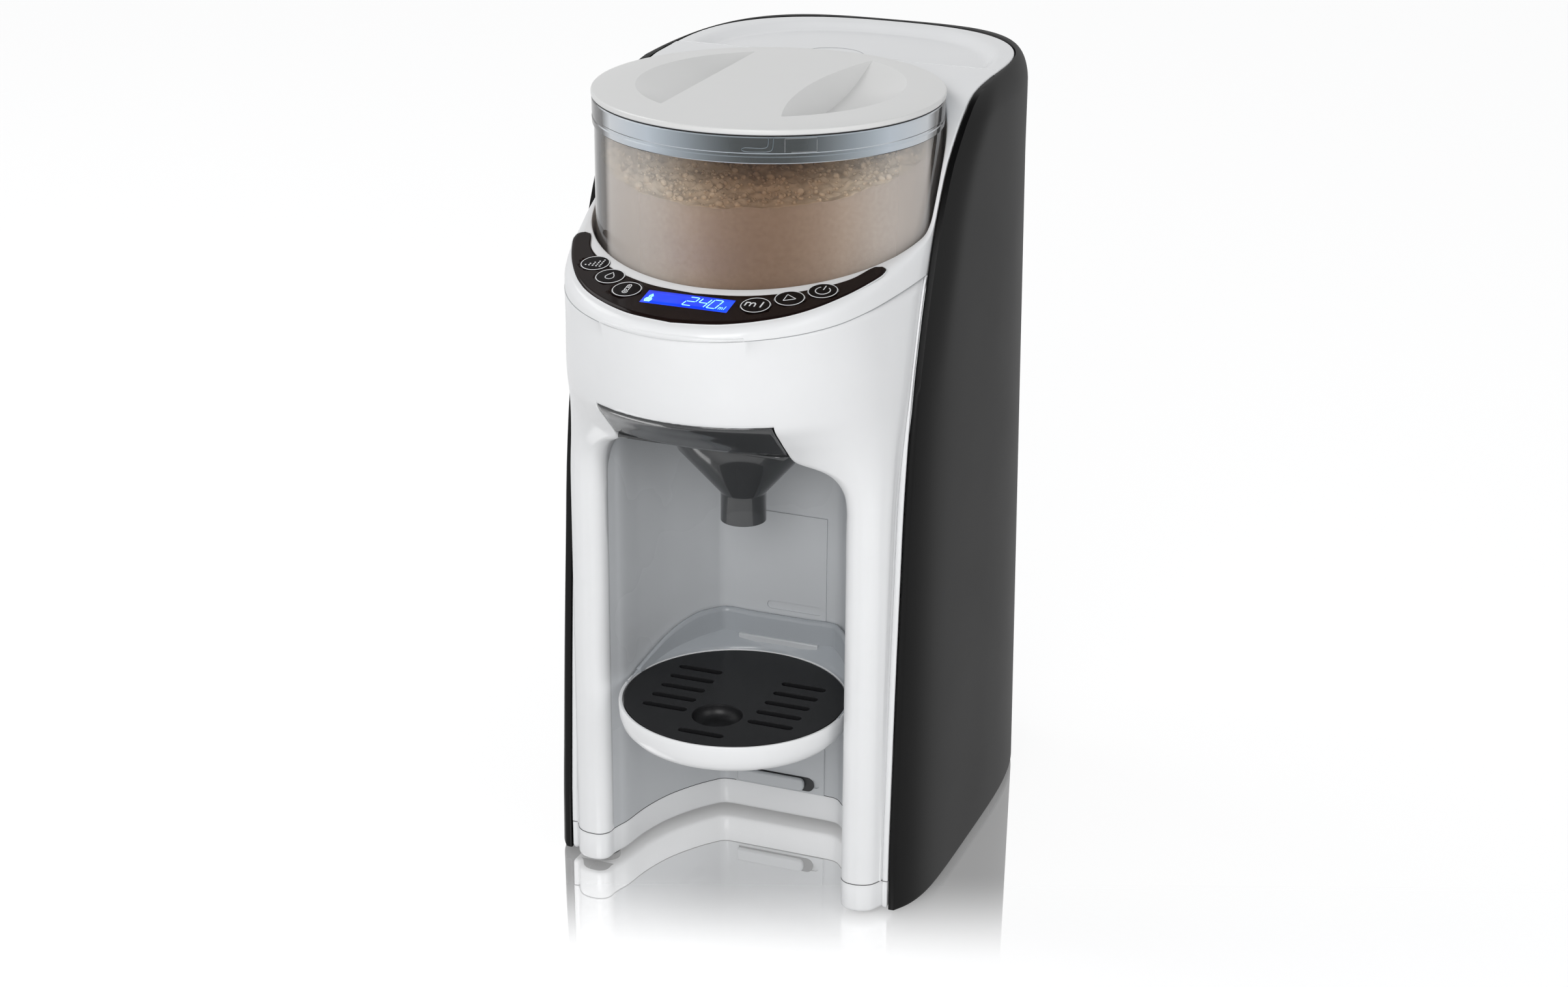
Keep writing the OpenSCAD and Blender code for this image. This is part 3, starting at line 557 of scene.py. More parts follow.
def topSheet(u, v):
    a = u * math.tau
    r0 = top["wellR"]
    ca, sa = math.cos(a), math.sin(a)
    ox, oy = outlineAt(a)
    reach = math.hypot(ox, oy - top["wellY"])
    rim = min(rimRound(oy), reach - r0 - 0.25)
    j = int(round(v * 25))
    inner = min(top["inner"], (reach - r0 - rim) * 0.5)
    if j == 0:
        return (r0 * ca, top["wellY"] + r0 * sa, top["wellLow"])
    if j <= 5:  # edge of the well
        w = math.radians(90 * (j - 1) / 4)
        r, drop = r0 + inner * (1 - math.cos(w)), inner * (1 - math.sin(w))
    elif j <= 15:
        r, drop = mix(r0 + inner, reach - rim, (j - 5) / 10), 0
    elif j <= 23:
        w = math.radians(90 * (j - 15) / 8)
        r, drop = reach - rim + rim * math.sin(w), rim * (1 - math.cos(w))
    else:
        r, drop = reach, rim
    x, y = r * ca, top["wellY"] + r * sa
    z = topLine(y) - drop
    low = frontTop(y) + 0.3 if y < 60 else 338
    if j >= 24:
        z = mix(z, low, (j - 23) / 2)
    return (x, y, min(z, deckZ))


topMesh = mappedGrid(320, 25, topSheet)
seamPoints = [outlineAt(math.radians(a)) for a in range(-188, 9, 2)]
addPiece("shelfSeam", tubeAlong([(x, y, frontTop(y) + 0.1) for x, y in seamPoints], 0.2, sides=5), "housing", greyLine)
topSkin = addPiece("topSkin", topMesh, "housing", whiteGloss, sharp=40, facing=(0, 0, 1))
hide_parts("top_housing")
print("top")


# ---- tank cover: rear of the deck with the dish and the D mark ----

deck = {"halfX": 74.9, "reachY": 76.6, "power": 2.6, "dish": 3.4}
dishEdge = {"halfX": 68.5, "reachY": 72.5, "power": 2.5}


def squircle(x, y, shape):  # 1 on the edge of a rounded shape behind the shoulder
    a, b, n = shape["halfX"], shape["reachY"], shape["power"]
    return (abs(x / a) ** n + (max(0, y - shoulder) / b) ** n) ** (1 / n)


def dishDepth(x, y):
    f = squircle(x, y, dishEdge)
    side = ease((1 - f) * 70, 0, mix(5, 9, ease(y, 110, 150)))
    return deck["dish"] * side * ease(y, shoulder + 1, 112 - 0.12 * abs(x))


def coverSheet(u, v):
    a = math.radians(-90 + 360 * u)
    ca, sa = math.cos(a), math.sin(a)
    cy = 118
    low, high = 0.0, 120.0
    for _ in range(24):
        r = (low + high) / 2
        x, y = r * ca, cy + r * sa
        if y > shoulder + 0.25 and squircle(x, y, deck) < 1:
            low = r
        else:
            high = r
    j = int(round(v * 44))
    rim = 0.7
    if j <= 38:
        r = (low - rim) * (j / 38) ** 0.8
        drop = 0
    elif j <= 42:
        w = math.radians(90 * (j - 38) / 4)
        r, drop = low - rim + rim * math.sin(w), rim * (1 - math.cos(w))
    else:
        r, drop = low, rim + (j - 42) * 1.4
    x, y = r * ca, cy + r * sa
    return (x, y, deckZ - drop - (dishDepth(x, y) if j < 42 else 0))


coverMesh = mappedGrid(200, 44, coverSheet)
tankCoverSkin = addPiece("tankCoverSkin", coverMesh, "tank_cover", whiteGloss, sharp=50, facing=(0, 0, 1))
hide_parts("tank_cover")
markPath = [(x, y, deckZ - dishDepth(x, y) + 0.03) for x, y in arcPoints(-7, 109, 15, -10, 190, 41)]
addPiece("coverMark", tubeAlong(markPath, 0.12, sides=4), "tank_cover", greyLine)
print("tank cover")


# ---- black side shells ----

shell = {"halfX": 87.3, "taper": 4.7, "midY": 54, "reach": 124.6, "power": 3.4, "roundZ": 329, "round": 13.4}


def shellDrop(z):  # the shell leans in above the round's start
    up = (z - shell["roundZ"]) / shell["round"]
    return 0.0 if up < 0 else 6.2 * (1 - math.sqrt(max(0.0, 1 - up ** 2)))


def shellSize(z):  # half width, and reach behind the middle
    drop = shellDrop(z)
    return shell["halfX"] - shell["taper"] * min(z, 300) / 300 - drop, shell["reach"] - 0.45 * drop


def shellSide(y, z):
    a, b = shellSize(z)
    flat = 1 - (max(0, y - shell["midY"]) / b) ** shell["power"]
    return a * max(0, flat) ** (1 / shell["power"])


coverX = 36  # half width of the gap that the rear cover and the tank fill


def shellPoint(u, z):  # from the lip at the white front to the rear cover
    s = seamLine(z)
    full, reach = shellSize(z)
    rearY = max(118, s + 30)
    lip = [(75.5, 2.6), (75.45, 0.5), (75.7, 0.05), (76.4, 0.0)]
    if u < 0.08:
        j = min(3, int(round(u / 0.02)))
        return (lip[j][0], s + lip[j][1])
    start = min(78.2, full - 0.2)
    if u <= 0.6:
        y = mix(s + 0.1, rearY, ((u - 0.08) / 0.52) ** 1.7)
        w = y - s
        wide = shellSide(y, z)
        soft = 1 - math.exp(-w / 11)
        k = 5.0
        ramp = 1 - math.log(1 + math.exp(k * (1 - w / 15.5))) / math.log(1 + math.exp(k))
        g = mix(soft, ramp, ease(z, 215, 285))
        return (start + (wide - start) * g, y)
    half = shell["power"] / 2
    a0 = math.asin(min(1, ((rearY - shell["midY"]) / reach) ** half))
    a1 = math.acos((coverX / full) ** half)
    a = mix(a0, a1, (u - 0.6) / 0.4)
    return (full * math.cos(a) ** (1 / half), shell["midY"] + reach * math.sin(a) ** (1 / half))


roundLevels = [shell["roundZ"] + 13.3 * math.sin(math.radians(6 * i)) for i in range(1, 16)]
shellLevels = [0, 0.6, 1.4] + [12 * i + 12 for i in range(17)] + [214 + 5.5 * i for i in range(21)] + roundLevels


def rimTarget(x, y):  # inner edge of the black rim beside the white deck
    if y < shoulder + 1:
        return (75.42, y)
    a = math.atan2(y - shoulder, x)
    n, p, q = deck["power"], deck["halfX"] + 0.5, deck["reachY"] + 0.5
    r = (abs(math.cos(a) / p) ** n + abs(math.sin(a) / q) ** n) ** (-1 / n)
    return (r * math.cos(a), shoulder + r * math.sin(a))


def shellSheet(u, v):
    j = rowAt(v, len(shellLevels) + 3)
    if j < len(shellLevels):
        z = shellLevels[j]
        x, y = shellPoint(u, z)
        if j == 0:
            x -= 0.6 * clamp((x - 76) / 4)
        return (x, y, z)
    x, y = shellPoint(u, shellLevels[-1])
    k = j - len(shellLevels)
    ix, iy = rimTarget(x, y)
    t, z = [(0.5, 342.35), (0.9, 342.3), (1.0, 342.0), (1.0, 339.0)][k]
    return (mix(x, ix, t), mix(y, iy, t), z)


def shellHalf(side):
    bm = mappedGrid(70, len(shellLevels) + 3, shellSheet)
    if side < 0:
        for v in bm.verts:
            v.co.x = -v.co.x
        bmesh.ops.reverse_faces(bm, faces=bm.faces)
    return bm


def rearRimSheet(u, v):  # black edge behind the deck between the two shells
    x = mix(coverX, -coverX, u)
    levels = [332] + roundLevels[3:]
    j = rowAt(v, len(levels) + 3)
    full, reach = shellSize(levels[min(j, len(levels) - 1)])
    z = levels[min(j, len(levels) - 1)]
    y = shell["midY"] + reach * (1 - (abs(x) / full) ** shell["power"]) ** (1 / shell["power"])
    if j >= len(levels):
        ix, iy = rimTarget(abs(x), y)
        t, z = [(0.5, 342.3), (0.9, 342.25), (1.0, 342.0), (1.0, 339.0)][j - len(levels)]
        x, y = mix(x, math.copysign(ix, x), t), mix(y, iy, t)
    return (x, y - 0.1, z)


addPiece("rearRim", mappedGrid(24, 16, rearRimSheet), "water_tank", blackGloss, sharp=60, facing=(0, 1, 0))

for side, label in [(1, "right"), (-1, "left")]:
    skin = addPiece("sideSkin" + label.title(), shellHalf(side), "housing", blackGloss, sharp=60, facing=(side, 0, 0))
    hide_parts("side_shell_" + label)
print("side shells")


# ---- base ring under the thin line ----

bayCurve = pathThrough([(54.7, -29.5), (53.6, -25.5), (52, -20.2), (50, -7.3), (46.9, 4), (42.9, 13.5), (36.6, 24),
                        (30.6, 31.6), (28.4, 33.7), (25.8, 34.7), (21.6, 35)], 8)


def legOutline(z):
    k0 = kAt(54.7, z)
    line = []
    for i in range(25):
        k = mix(11, k0, 1 - (1 - i / 24) ** 1.5)
        x, y = frontPoint(k, z)
        line.append((x, y + edgeDrop(x, z)))
    return line


def baseOutline():
    s = seamLine(13)
    rear = [(x, y) for x, y in pathThrough([(0, 169.6), (30, 169.6), (56, 163.5), (69.6, 146), (74.8, 118),
                                            (74.9, 60), (74.9, 0)], 6)]
    strip = [(74.9, s + 1.6), (74.85, s + 0.35), (74.6, s + 0.05), (73.9, s), (72.8, s + 0.05), (72.6, s + 0.3),
             (72.35, s + 0.9), (72.1, s + 0.3)]
    half = rear + strip + legOutline(40) + bayCurve + [(10, 35)]
    return half + [(-x, y) for x, y in reversed(half) if x > 0.01]


def ringSheet(outline, rows):
    count = len(outline)
    norms = []
    for i in range(count):
        (ax, ay), (bx, by) = outline[i - 1], outline[(i + 1) % count]
        n = math.hypot(bx - ax, by - ay) or 1
        norms.append(((ay - by) / n, (bx - ax) / n))

    def where(u, v):
        i = int(round(u * count)) % count
        inset, z = rows[int(round(v * (len(rows) - 1)))]
        return (outline[i][0] - norms[i][0] * inset, outline[i][1] - norms[i][1] * inset, z)

    bm = mappedGrid(count, len(rows) - 1, where)
    bmesh.ops.remove_doubles(bm, verts=bm.verts, dist=1e-6)
    middle = (rows[0][1] + rows[-1][1]) / 2
    for high in (False, True):
        edge = [e for e in bm.edges if e.is_boundary and (measured(e.verts[0].co)[2] > middle) == high]
        bmesh.ops.triangle_fill(bm, use_beauty=True, use_dissolve=False, edges=edge)
    return bm


ringRows = [(1.8, 0.0), (0.8, 0.25), (0.25, 0.8), (0, 1.8), (0, 12.9), (0.1, 13.1), (0.6, 13.15)]  # inset and height
baseRing = ringSheet(baseOutline(), ringRows)
baseSkin = addPiece("baseRing", baseRing, "housing", whiteGloss, sharp=35)
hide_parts("base_frame")
footEdge = [(x, y, 13.3) for x, y in baseOutline()]
addPiece("footLine", tubeAlong(footEdge, 0.15, sides=4, closed=True), "housing", lineDark)
addPiece("footSeam", ringSheet(baseOutline(), [(0.4, 12.7), (0.4, 13.9)]), "housing", lineDark)
print("base ring")


# ---- bay: wall, ceiling and rail panel ----

bay = {"low": 13.5, "ceiling": 205.6, "corner": 14, "straightX": 41, "openX": 35.6, "openY": 28}
bayX = [p[0] for p in reversed(bayCurve)]
bayY = [p[1] for p in reversed(bayCurve)]


def bayCeiling(x):
    over = max(0, abs(x) - bay["straightX"])
    return bay["ceiling"] - bay["corner"] + math.sqrt(max(0, bay["corner"] ** 2 - min(over, 13.9) ** 2))


def bayWall(u, v):
    line = bayCurve + [(10, 35), (0, 35)]
    full = line + [(-x, y) for x, y in reversed(line[:-1])]
    x, y = full[rowAt(u, len(full) - 1)]
    return (x, y, mix(bay["low"], bayCeiling(x), v))


def baySide(u, v):
    x = mix(bay["openX"], 54.65, u)
    back = float(np.interp(x, bayX, bayY))
    return (x, mix(-28.6, back, v), bayCeiling(x))


def bayBack(u, v):
    x = mix(-bay["openX"], bay["openX"], u)
    return (x, mix(bay["openY"], float(np.interp(abs(x), bayX, bayY)), v), bay["ceiling"])


wallCount = 2 * (len(bayCurve) + 2) - 2
liner = joinMeshes(mappedGrid(wallCount, 24, bayWall), mirrorCopy(mappedGrid(20, 16, baySide)),
                   mappedGrid(20, 2, bayBack))
bmesh.ops.remove_doubles(liner, verts=liner.verts, dist=1e-5)
linerSkin = addPiece("bayLining", liner, "housing", coolWhite, sharp=40, facing=(0, -1, 0))
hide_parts("bay_liner")


def barShape(x0, x1, z0, z1, y0, y1, r):  # flat bar with a rounded right end
    line = [(x0, z0)] + arcPoints(x1 - r, z0 + r, r, -90, 0, 10) + arcPoints(x1 - r, z1 - r, r, 0, 90, 10) + [(x0, z1)]
    return slab([(x, y0, z) for x, z in line], (0, y1 - y0, 0))


railBar = barShape(-20.2, 12.4, 14.9, 20.9, 31.6, 34.2, 2.4)
# painted shade: a thin dark sheet behind the bar where the slot recess lies in shade
railGapShade = barShape(-20.2, 16.8, 14.4, 21.4, 34.1, 34.28, 3.4)
addPiece("railBar", railBar, "housing", coolWhite, bevel=0.7)
addPiece("railGapShade", railGapShade, "housing", lineDark)
print("bay")


# ---- control panel with its border, display and buttons ----

shelfTilt = math.atan(0.2)
panelInner = pathThrough([(0, -62.9), (20, -60.3), (38, -53), (50, -44.2), (57, -36.5), (61.0, -27.8),
                          (62.6, -25.2)], 8)
panelOuter = pathThrough([(0, -86.8), (20, -83.6), (38, -74.8), (50, -64), (60, -48.8), (66.6, -34), (67.8, -28.2),
                          (67.2, -25.6), (65.2, -24.4)], 8)


def onShelf(x, y, lift):  # a point above the sloping shelf
    return (x, y - lift * math.sin(shelfTilt), 292 + 0.2 * y + lift * math.cos(shelfTilt))


def alongLine(line, t):
    f = clamp(t) * (len(line) - 1)
    i = min(int(f), len(line) - 2)
    return (mix(line[i][0], line[i + 1][0], f - i), mix(line[i][1], line[i + 1][1], f - i))


def crescent(grow, lift):
    def where(u, v):
        a = abs(2 * u - 1)
        side = 1 if u >= 0.5 else -1
        p, q = alongLine(panelInner, a), alongLine(panelOuter, a)
        dx, dy = q[0] - p[0], q[1] - p[1]
        n = math.hypot(dx, dy) or 1
        x = mix(p[0] - dx / n * grow, q[0] + dx / n * grow, v)
        y = mix(p[1] - dy / n * grow, q[1] + dy / n * grow, v)
        if a > 0.999:
            y += grow
        return onShelf(side * x, y, lift)
    return where


panelMesh, borderMesh = mappedGrid(160, 8, crescent(0, 0.32)), mappedGrid(160, 8, crescent(0.45, 0.14))
panelSkin = addPiece("panelSkin", panelMesh, "housing", panelGloss, wall=0.5, facing=(0, 0, 1))
borderSkin = addPiece("panelBorder", borderMesh, "housing", paleLine, wall=0.3, facing=(0, 0, 1))
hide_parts("control_panel")

display = {"left": -18.6, "right": 18.6, "near": -74.6, "far": -64.7, "play": 0.06}
lcdBlue = glowing("displayBlue", (0.3, (0.0, 0.02, 0.62)), (0.7, (0.005, 0.07, 0.95)), 45, 0.75, rough=0.25)
lcdGlow = glowing("displayGlow", (0, (0.25, 0.75, 1.0)), (1, (0.4, 0.85, 1.0)), 90, 0.8)


def displaySheet(u, v):
    x = mix(display["left"] + display["play"], display["right"] - display["play"], u)
    return onShelf(x, mix(display["near"], display["far"], v), 0.42)


displaySkin = addPiece("displaySkin", mappedGrid(12, 4, displaySheet), "housing", lcdBlue, wall=0.4, facing=(0, 0, 1))
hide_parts("lcd_display")


def strokes(lines, radius, lift):  # several thin lines drawn on the shelf
    parts = []
    for line in lines:
        closed = len(line) > 2 and line[0] == line[-1]
        pts = [onShelf(x, y, lift) for x, y in (line[:-1] if closed else line)]
        parts.append(tubeAlong(pts, radius, sides=5, closed=closed, flat=0.5))
    return joinMeshes(*parts)


def segmentDigit(code, x, w, y=-72.9, h=6.6, slant=0.2, cut=0.08):  # a digit of seven-segment strokes
    corner = {"a": [(0, 2), (1, 2)], "b": [(1, 2), (1, 1)], "c": [(1, 1), (1, 0)], "d": [(0, 0), (1, 0)],
              "e": [(0, 1), (0, 0)], "f": [(0, 2), (0, 1)], "g": [(0, 1), (1, 1)]}
    out = []
    for name in code:
        (ax, ay), (bx, by) = corner[name]
        px, py, qx, qy = x + ax * w, y + ay * h / 2, x + bx * w, y + by * h / 2
        px, qx = mix(px, qx, cut), mix(qx, px, cut)
        py, qy = mix(py, qy, cut), mix(qy, py, cut)
        out.append([(px + (py - y) * slant, py), (qx + (qy - y) * slant, qy)])
    return out


digitLines = segmentDigit("abged", -1.2, 3.9) + segmentDigit("fgbc", 4.2, 3.7) + segmentDigit("abcdef", 9.2, 3.7)
unitLines = [[(14.3, -73.0), (14.45, -71.3)], [(14.4, -71.7), (14.8, -71.25), (15.15, -71.6), (15.05, -73.0)],
             [(15.15, -71.7), (15.55, -71.25), (15.9, -71.6), (15.8, -73.0)], [(16.6, -73.0), (16.8, -70.3)]]
addPiece("displayDigits", strokes(digitLines, 0.24, 0.5), "housing", lcdGlow)
addPiece("displayUnit", strokes(unitLines, 0.13, 0.5), "housing", lcdGlow)
bottleIcon = [[(-16.9, -73.3), (-15.0, -73.3), (-14.6, -72.0), (-15.0, -70.9), (-15.4, -70.6), (-15.3, -69.4),
               (-15.0, -69.0), (-15.3, -68.7), (-15.6, -67.6), (-16.0, -68.7), (-16.4, -69.0), (-16.2, -69.4),
               (-16.3, -70.6), (-16.8, -70.9), (-17.2, -72.0), (-16.9, -73.3)],
              [(-16.6, -72.7), (-15.2, -72.7)], [(-16.8, -71.9), (-15.0, -71.9)], [(-16.6, -71.2), (-15.1, -71.2)]]
addPiece("displayBottle", strokes(bottleIcon, 0.33, 0.5), "housing", lcdGlow)

def strengthIcon():  # a triangle of dots
    dots = [arcPoints(-2.9 + 1.35 * col, -1.9 + 1.15 * row, 0.2, 0, 300, 6)
            for col in range(5) for row in range(col + 1)]
    return [dot + dot[:1] for dot in dots]


def dropIcon():
    pts = [(0.1, 2.7), (0.75, 1.55), (1.35, 0.45), (1.55, -0.55), (1.2, -1.5), (0.35, -2.0), (-0.55, -1.95),
           (-1.35, -1.4),
           (-1.6, -0.5), (-1.3, 0.5), (-0.6, 1.6)]
    return [pts + [pts[0]]]


def heatIcon():
    tube = [(-0.62, -0.75), (-0.62, 2.3), (-0.35, 2.85), (0.1, 3.0), (0.5, 2.75), (0.7, 2.3), (0.7, -0.7)]
    bulb = arcPoints(0.03, -1.7, 0.85, 0, 330, 12)
    ticks = [[(-0.2, 0.9 + 0.6 * i), (0.35, 0.9 + 0.6 * i)] for i in range(3)]
    return [tube, bulb + [bulb[0]], [(-0.35, -1.7), (0.4, -1.7)], [(0.03, -1.0), (0.03, -0.2)]] + ticks


def unitIcon():
    return [[(-2.7, -1.0), (-2.7, 0.9)], [(-2.7, 0.4), (-2.3, 0.85), (-1.8, 0.9), (-1.4, 0.45), (-1.35, -1.0)],
            [(-1.35, 0.4), (-1.0, 0.85), (-0.5, 0.9), (-0.1, 0.45), (-0.05, -1.0)], [(1.6, -1.0), (1.6, 1.9)]]


def startIcon():
    pts = [(-1.2, -1.7), (1.8, 0), (-1.2, 1.7)]
    line = []
    for i in range(3):
        a, b = pts[i], pts[(i + 1) % 3]
        line += [(mix(a[0], b[0], t), mix(a[1], b[1], t)) for t in (0.04, 0.35, 0.65, 0.96)]
    return [line + [line[0]]]


def powerIcon():
    return [arcPoints(0, 0, 2.2, 125, 415, 23), [(0, 0.4), (0, 2.8)]]


# place on the shelf, icon, line width and size of each button
buttonR, ringR = 6.15, 5.8
icons = {"button_strength": (-49.3, -49.1, strengthIcon(), 0.2, 1.15),
         "button_water": (-38.7, -58.0, dropIcon(), 0.2, 1.15),
         "button_heat": (-27.6, -66.4, heatIcon(), 0.2, 1.25),
         "button_unit": (27.6, -66.4, unitIcon(), 0.32, 1.5),
         "button_start": (38.7, -58.0, startIcon(), 0.2, 1.5),
         "button_power": (49.3, -49.1, powerIcon(), 0.22, 1.35)}


capProfile = [(0, 0.62), (3.2, 0.6), (5.2, 0.56), (5.8, 0.5), (6.1, 0.34), (buttonR, 0.1), (buttonR, -1.2)]


def makeButton(node, x, y, lines, width, grow):
    label = node.replace("button_", "")

    def cap(u, v):
        a = u * math.tau
        r, lift = capProfile[rowAt(v, len(capProfile) - 1)]
        return onShelf(x + r * math.cos(a), y + r * math.sin(a) * math.cos(shelfTilt), lift)

    skin = addPiece(label + "Cap", mappedGrid(48, 6, cap), node, buttonGloss, sharp=50)
    circle = [(x + px, y + py * 0.98) for px, py in arcPoints(0, 0, ringR, 0, 360, 57)]
    circle[-1] = circle[0]
    ring = strokes([circle], 0.2, 0.55)
    mark = strokes([[(x + px * grow, y + py * grow) for px, py in line] for line in lines], width, 0.62)
    addPiece(label + "Marks", joinMeshes(ring, mark), node, paleLine)
    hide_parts(node)


def cutButtonHoles(skin):  # the panel's sheets stay open where a button is pressed in
    bm = bmesh.new()
    r = (buttonR + 0.15) / 1000
    for x, y, *_ in icons.values():
        made = bmesh.ops.create_cone(bm, cap_ends=True, segments=64, radius1=r, radius2=r, depth=0.006)
        bmesh.ops.rotate(bm, verts=made["verts"], cent=(0, 0, 0), matrix=Matrix.Rotation(shelfTilt, 3, "X"))
        bmesh.ops.translate(bm, verts=made["verts"], vec=place(*onShelf(x, y, 0)))
    cutAway(skin, [looseObject("buttonCutter", bm)])


cutButtonHoles(panelSkin)
cutButtonHoles(borderSkin)

for node, (x, y, lines, width, grow) in icons.items():
    makeButton(node, x, y, lines, width, grow)
print("panel, display and buttons")


# ---- powder container: clear wall, collar, lid, powder ----

# pale: colour of the painted reflection on the clear plastic
pale = (0.82, 0.81, 0.8)
# container wall: painted reflection as a pale veil towards the sides and a dark rim at the edge; the brown see-through
# tint in the middle paints shade on the powder behind
clearWall = acrylic("clearWall", [(0, pale), (0.6, pale), (0.67, (0.05, 0.05, 0.05)), (1, (0.012, 0.012, 0.012))],
                    [(0, 0.02), (0.1, 0.02), (0.2, 0.12), (0.34, 0.32), (0.6, 0.36), (0.68, 0.92), (1, 1)],
                    through=[(0, (0.46, 0.36, 0.29)), (0.03, (0.5, 0.4, 0.33)), (0.14, (0.88, 0.83, 0.79)), (0.25, 1)])
# inner face: painted reflection, pale turning grey towards the edge by facing
clearInner = acrylic("clearInner", [(0, pale), (1, (0.3, 0.3, 0.3))], [(0, 0.02), (0.7, 0.05), (1, 0.25)])
# collar: its own smoky blue-grey with painted reflection and shade by facing, dark in the middle, light towards the
# sides, dark again at the very edge
mistBlue = acrylic("mistBlue", [(0, (0.05, 0.056, 0.059)), (0.05, (0.06, 0.068, 0.07)), (0.16, (0.3, 0.34, 0.37)),
                                (0.3, (0.56, 0.62, 0.68)), (0.58, (0.72, 0.75, 0.78)), (0.68, (0.1, 0.1, 0.1)),
                                (1, (0.04, 0.04, 0.04))],
                   [(0, 0.8), (0.5, 0.85), (1, 0.95)], gloss=0.1)
tub = {"y": 16.9, "r": 72.2, "wall": 2.2, "low": 259, "collarR": 73.15, "powderR": 69.75}
containerWall = lathed([(67, tub["low"]), (71.4, tub["low"] + 0.3), (tub["r"], tub["low"] + 1.2), (tub["r"], 331.9),
                        (tub["r"] - tub["wall"], 331.9), (tub["r"] - tub["wall"], tub["low"] + 3.2),
                        (67, tub["low"] + 3.0)], (0, tub["y"]), steps=128)
containerSkin = addPiece("containerWall", containerWall, "hopper", clearWall, sharp=35)
containerSkin.data.materials.append(clearInner)
for p in containerSkin.data.polygons:  # the inner face gets the clear material with its weaker painted reflection
    out = Vector((p.center.x, p.center.y - place(0, tub["y"], 0).y, 0))
    if p.normal.dot(out) <= 0.001:
        p.material_index = 1
collarRing = lathed([(69.9, 332), (72.6, 332.0), (73.0, 332.4), (73.1, 334.6), (72.75, 335.0), (72.75, 336.0),
                     (73.05, 336.4), (73.1, 342.4), (72.7, 342.8), (69.9, 342.8), (69.9, 332)],
                    (0, tub["y"]), steps=128)
collarSkin = addPiece("collarRing", collarRing, "hopper", mistBlue, sharp=35)
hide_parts("hopper")
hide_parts("hopper_collar")


def collarLine(points, radius):  # a line on the collar through points of angle and height
    r = tub["collarR"]
    where = [(r * math.cos(math.radians(a)), tub["y"] + r * math.sin(math.radians(a)), z) for a, z in points]
    return tubeAlong(where, radius)


slotLines = [[(-76.5, 337.2), (-75, 336.9), (-72, 336.9), (-69, 337.0), (-67.6, 337.6), (-67.2, 339), (-67.0, 342.8)],
             [(-76.5, 337.2), (-76.8, 337.9), (-75.5, 338.5), (-72, 338.4), (-70.2, 338.4), (-69, 338.9),
              (-68.6, 340.4), (-68.5, 342.8)]]
collarDark = finish("collarDark", (0.12, 0.15, 0.17), (0.1, 0.13, 0.15), rough=0.3)
slotMesh = joinMeshes(*[collarLine(pathThrough(p, 3), 0.16) for p in slotLines])
addPiece("collarSlot", slotMesh, "hopper", collarDark)
corners = [(-63.5, 336.7), (-63.5, 342.2), (-53.5, 342.2), (-53.5, 336.7), (-63.5, 336.7)]
window = [(mix(a[0], b[0], t / 5), mix(a[1], b[1], t / 5)) for a, b in zip(corners, corners[1:]) for t in range(5)]
addPiece("collarWindow", collarLine(window, 0.09), "hopper", greyLine)
print("container and collar")

# tan of the crumbly top, brightened above the powder's own colour as painted light for the little light that reaches
# inside the hopper; the cream is the powder's own colour on its sides
powderTanPaintedLight = finish("powderTanPaintedLight", (0.82, 0.7, 0.54), (0.6, 0.48, 0.34), rough=0.9, grain=260, bump=0.9)
powderCream = finish("powderCream", (0.56, 0.47, 0.39), (0.5, 0.41, 0.335), rough=0.85, grain=500, bump=0.45)


def powderTop(x, y):
    p = Vector((x / 9, y / 9, 1.7))
    rough = noise.noise(p) * 2.4 + noise.noise(p * 2.9) * 1.6 + noise.noise(p * 7.5) * 1.1
    edge = math.hypot(x, y - tub["y"])
    return min(321.5 + 0.17 * y + rough * mix(0.35, 1, ease(tub["powderR"] + 0.05 - edge, 0, 9)), 333.5)


def powderSheet(u, v):
    a = u * math.tau
    j = int(round(v * 70))
    r = (tub["powderR"] - 0.05) * (j / 60) ** 0.75 if j <= 60 else tub["powderR"]
    x, y = r * math.cos(a), tub["y"] + r * math.sin(a)
    return (x, y, mix(powderTop(x, y), 271.2, max(0, j - 60) / 10))


powderMesh = mappedGrid(260, 70, powderSheet)
bmesh.ops.holes_fill(powderMesh, edges=[e for e in powderMesh.edges if e.is_boundary], sides=0)
powderSkin = addPiece("powderBody", powderMesh, "hopper", powderCream, sharp=80)
powderSkin.data.materials.append(powderTanPaintedLight)
# faces turned upwards get the brighter tan: a lit copy of the powder, partly its grainy top, partly painted light
for p in powderSkin.data.polygons:
    if p.normal.z > 0.35:
        p.material_index = 1
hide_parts("powder")


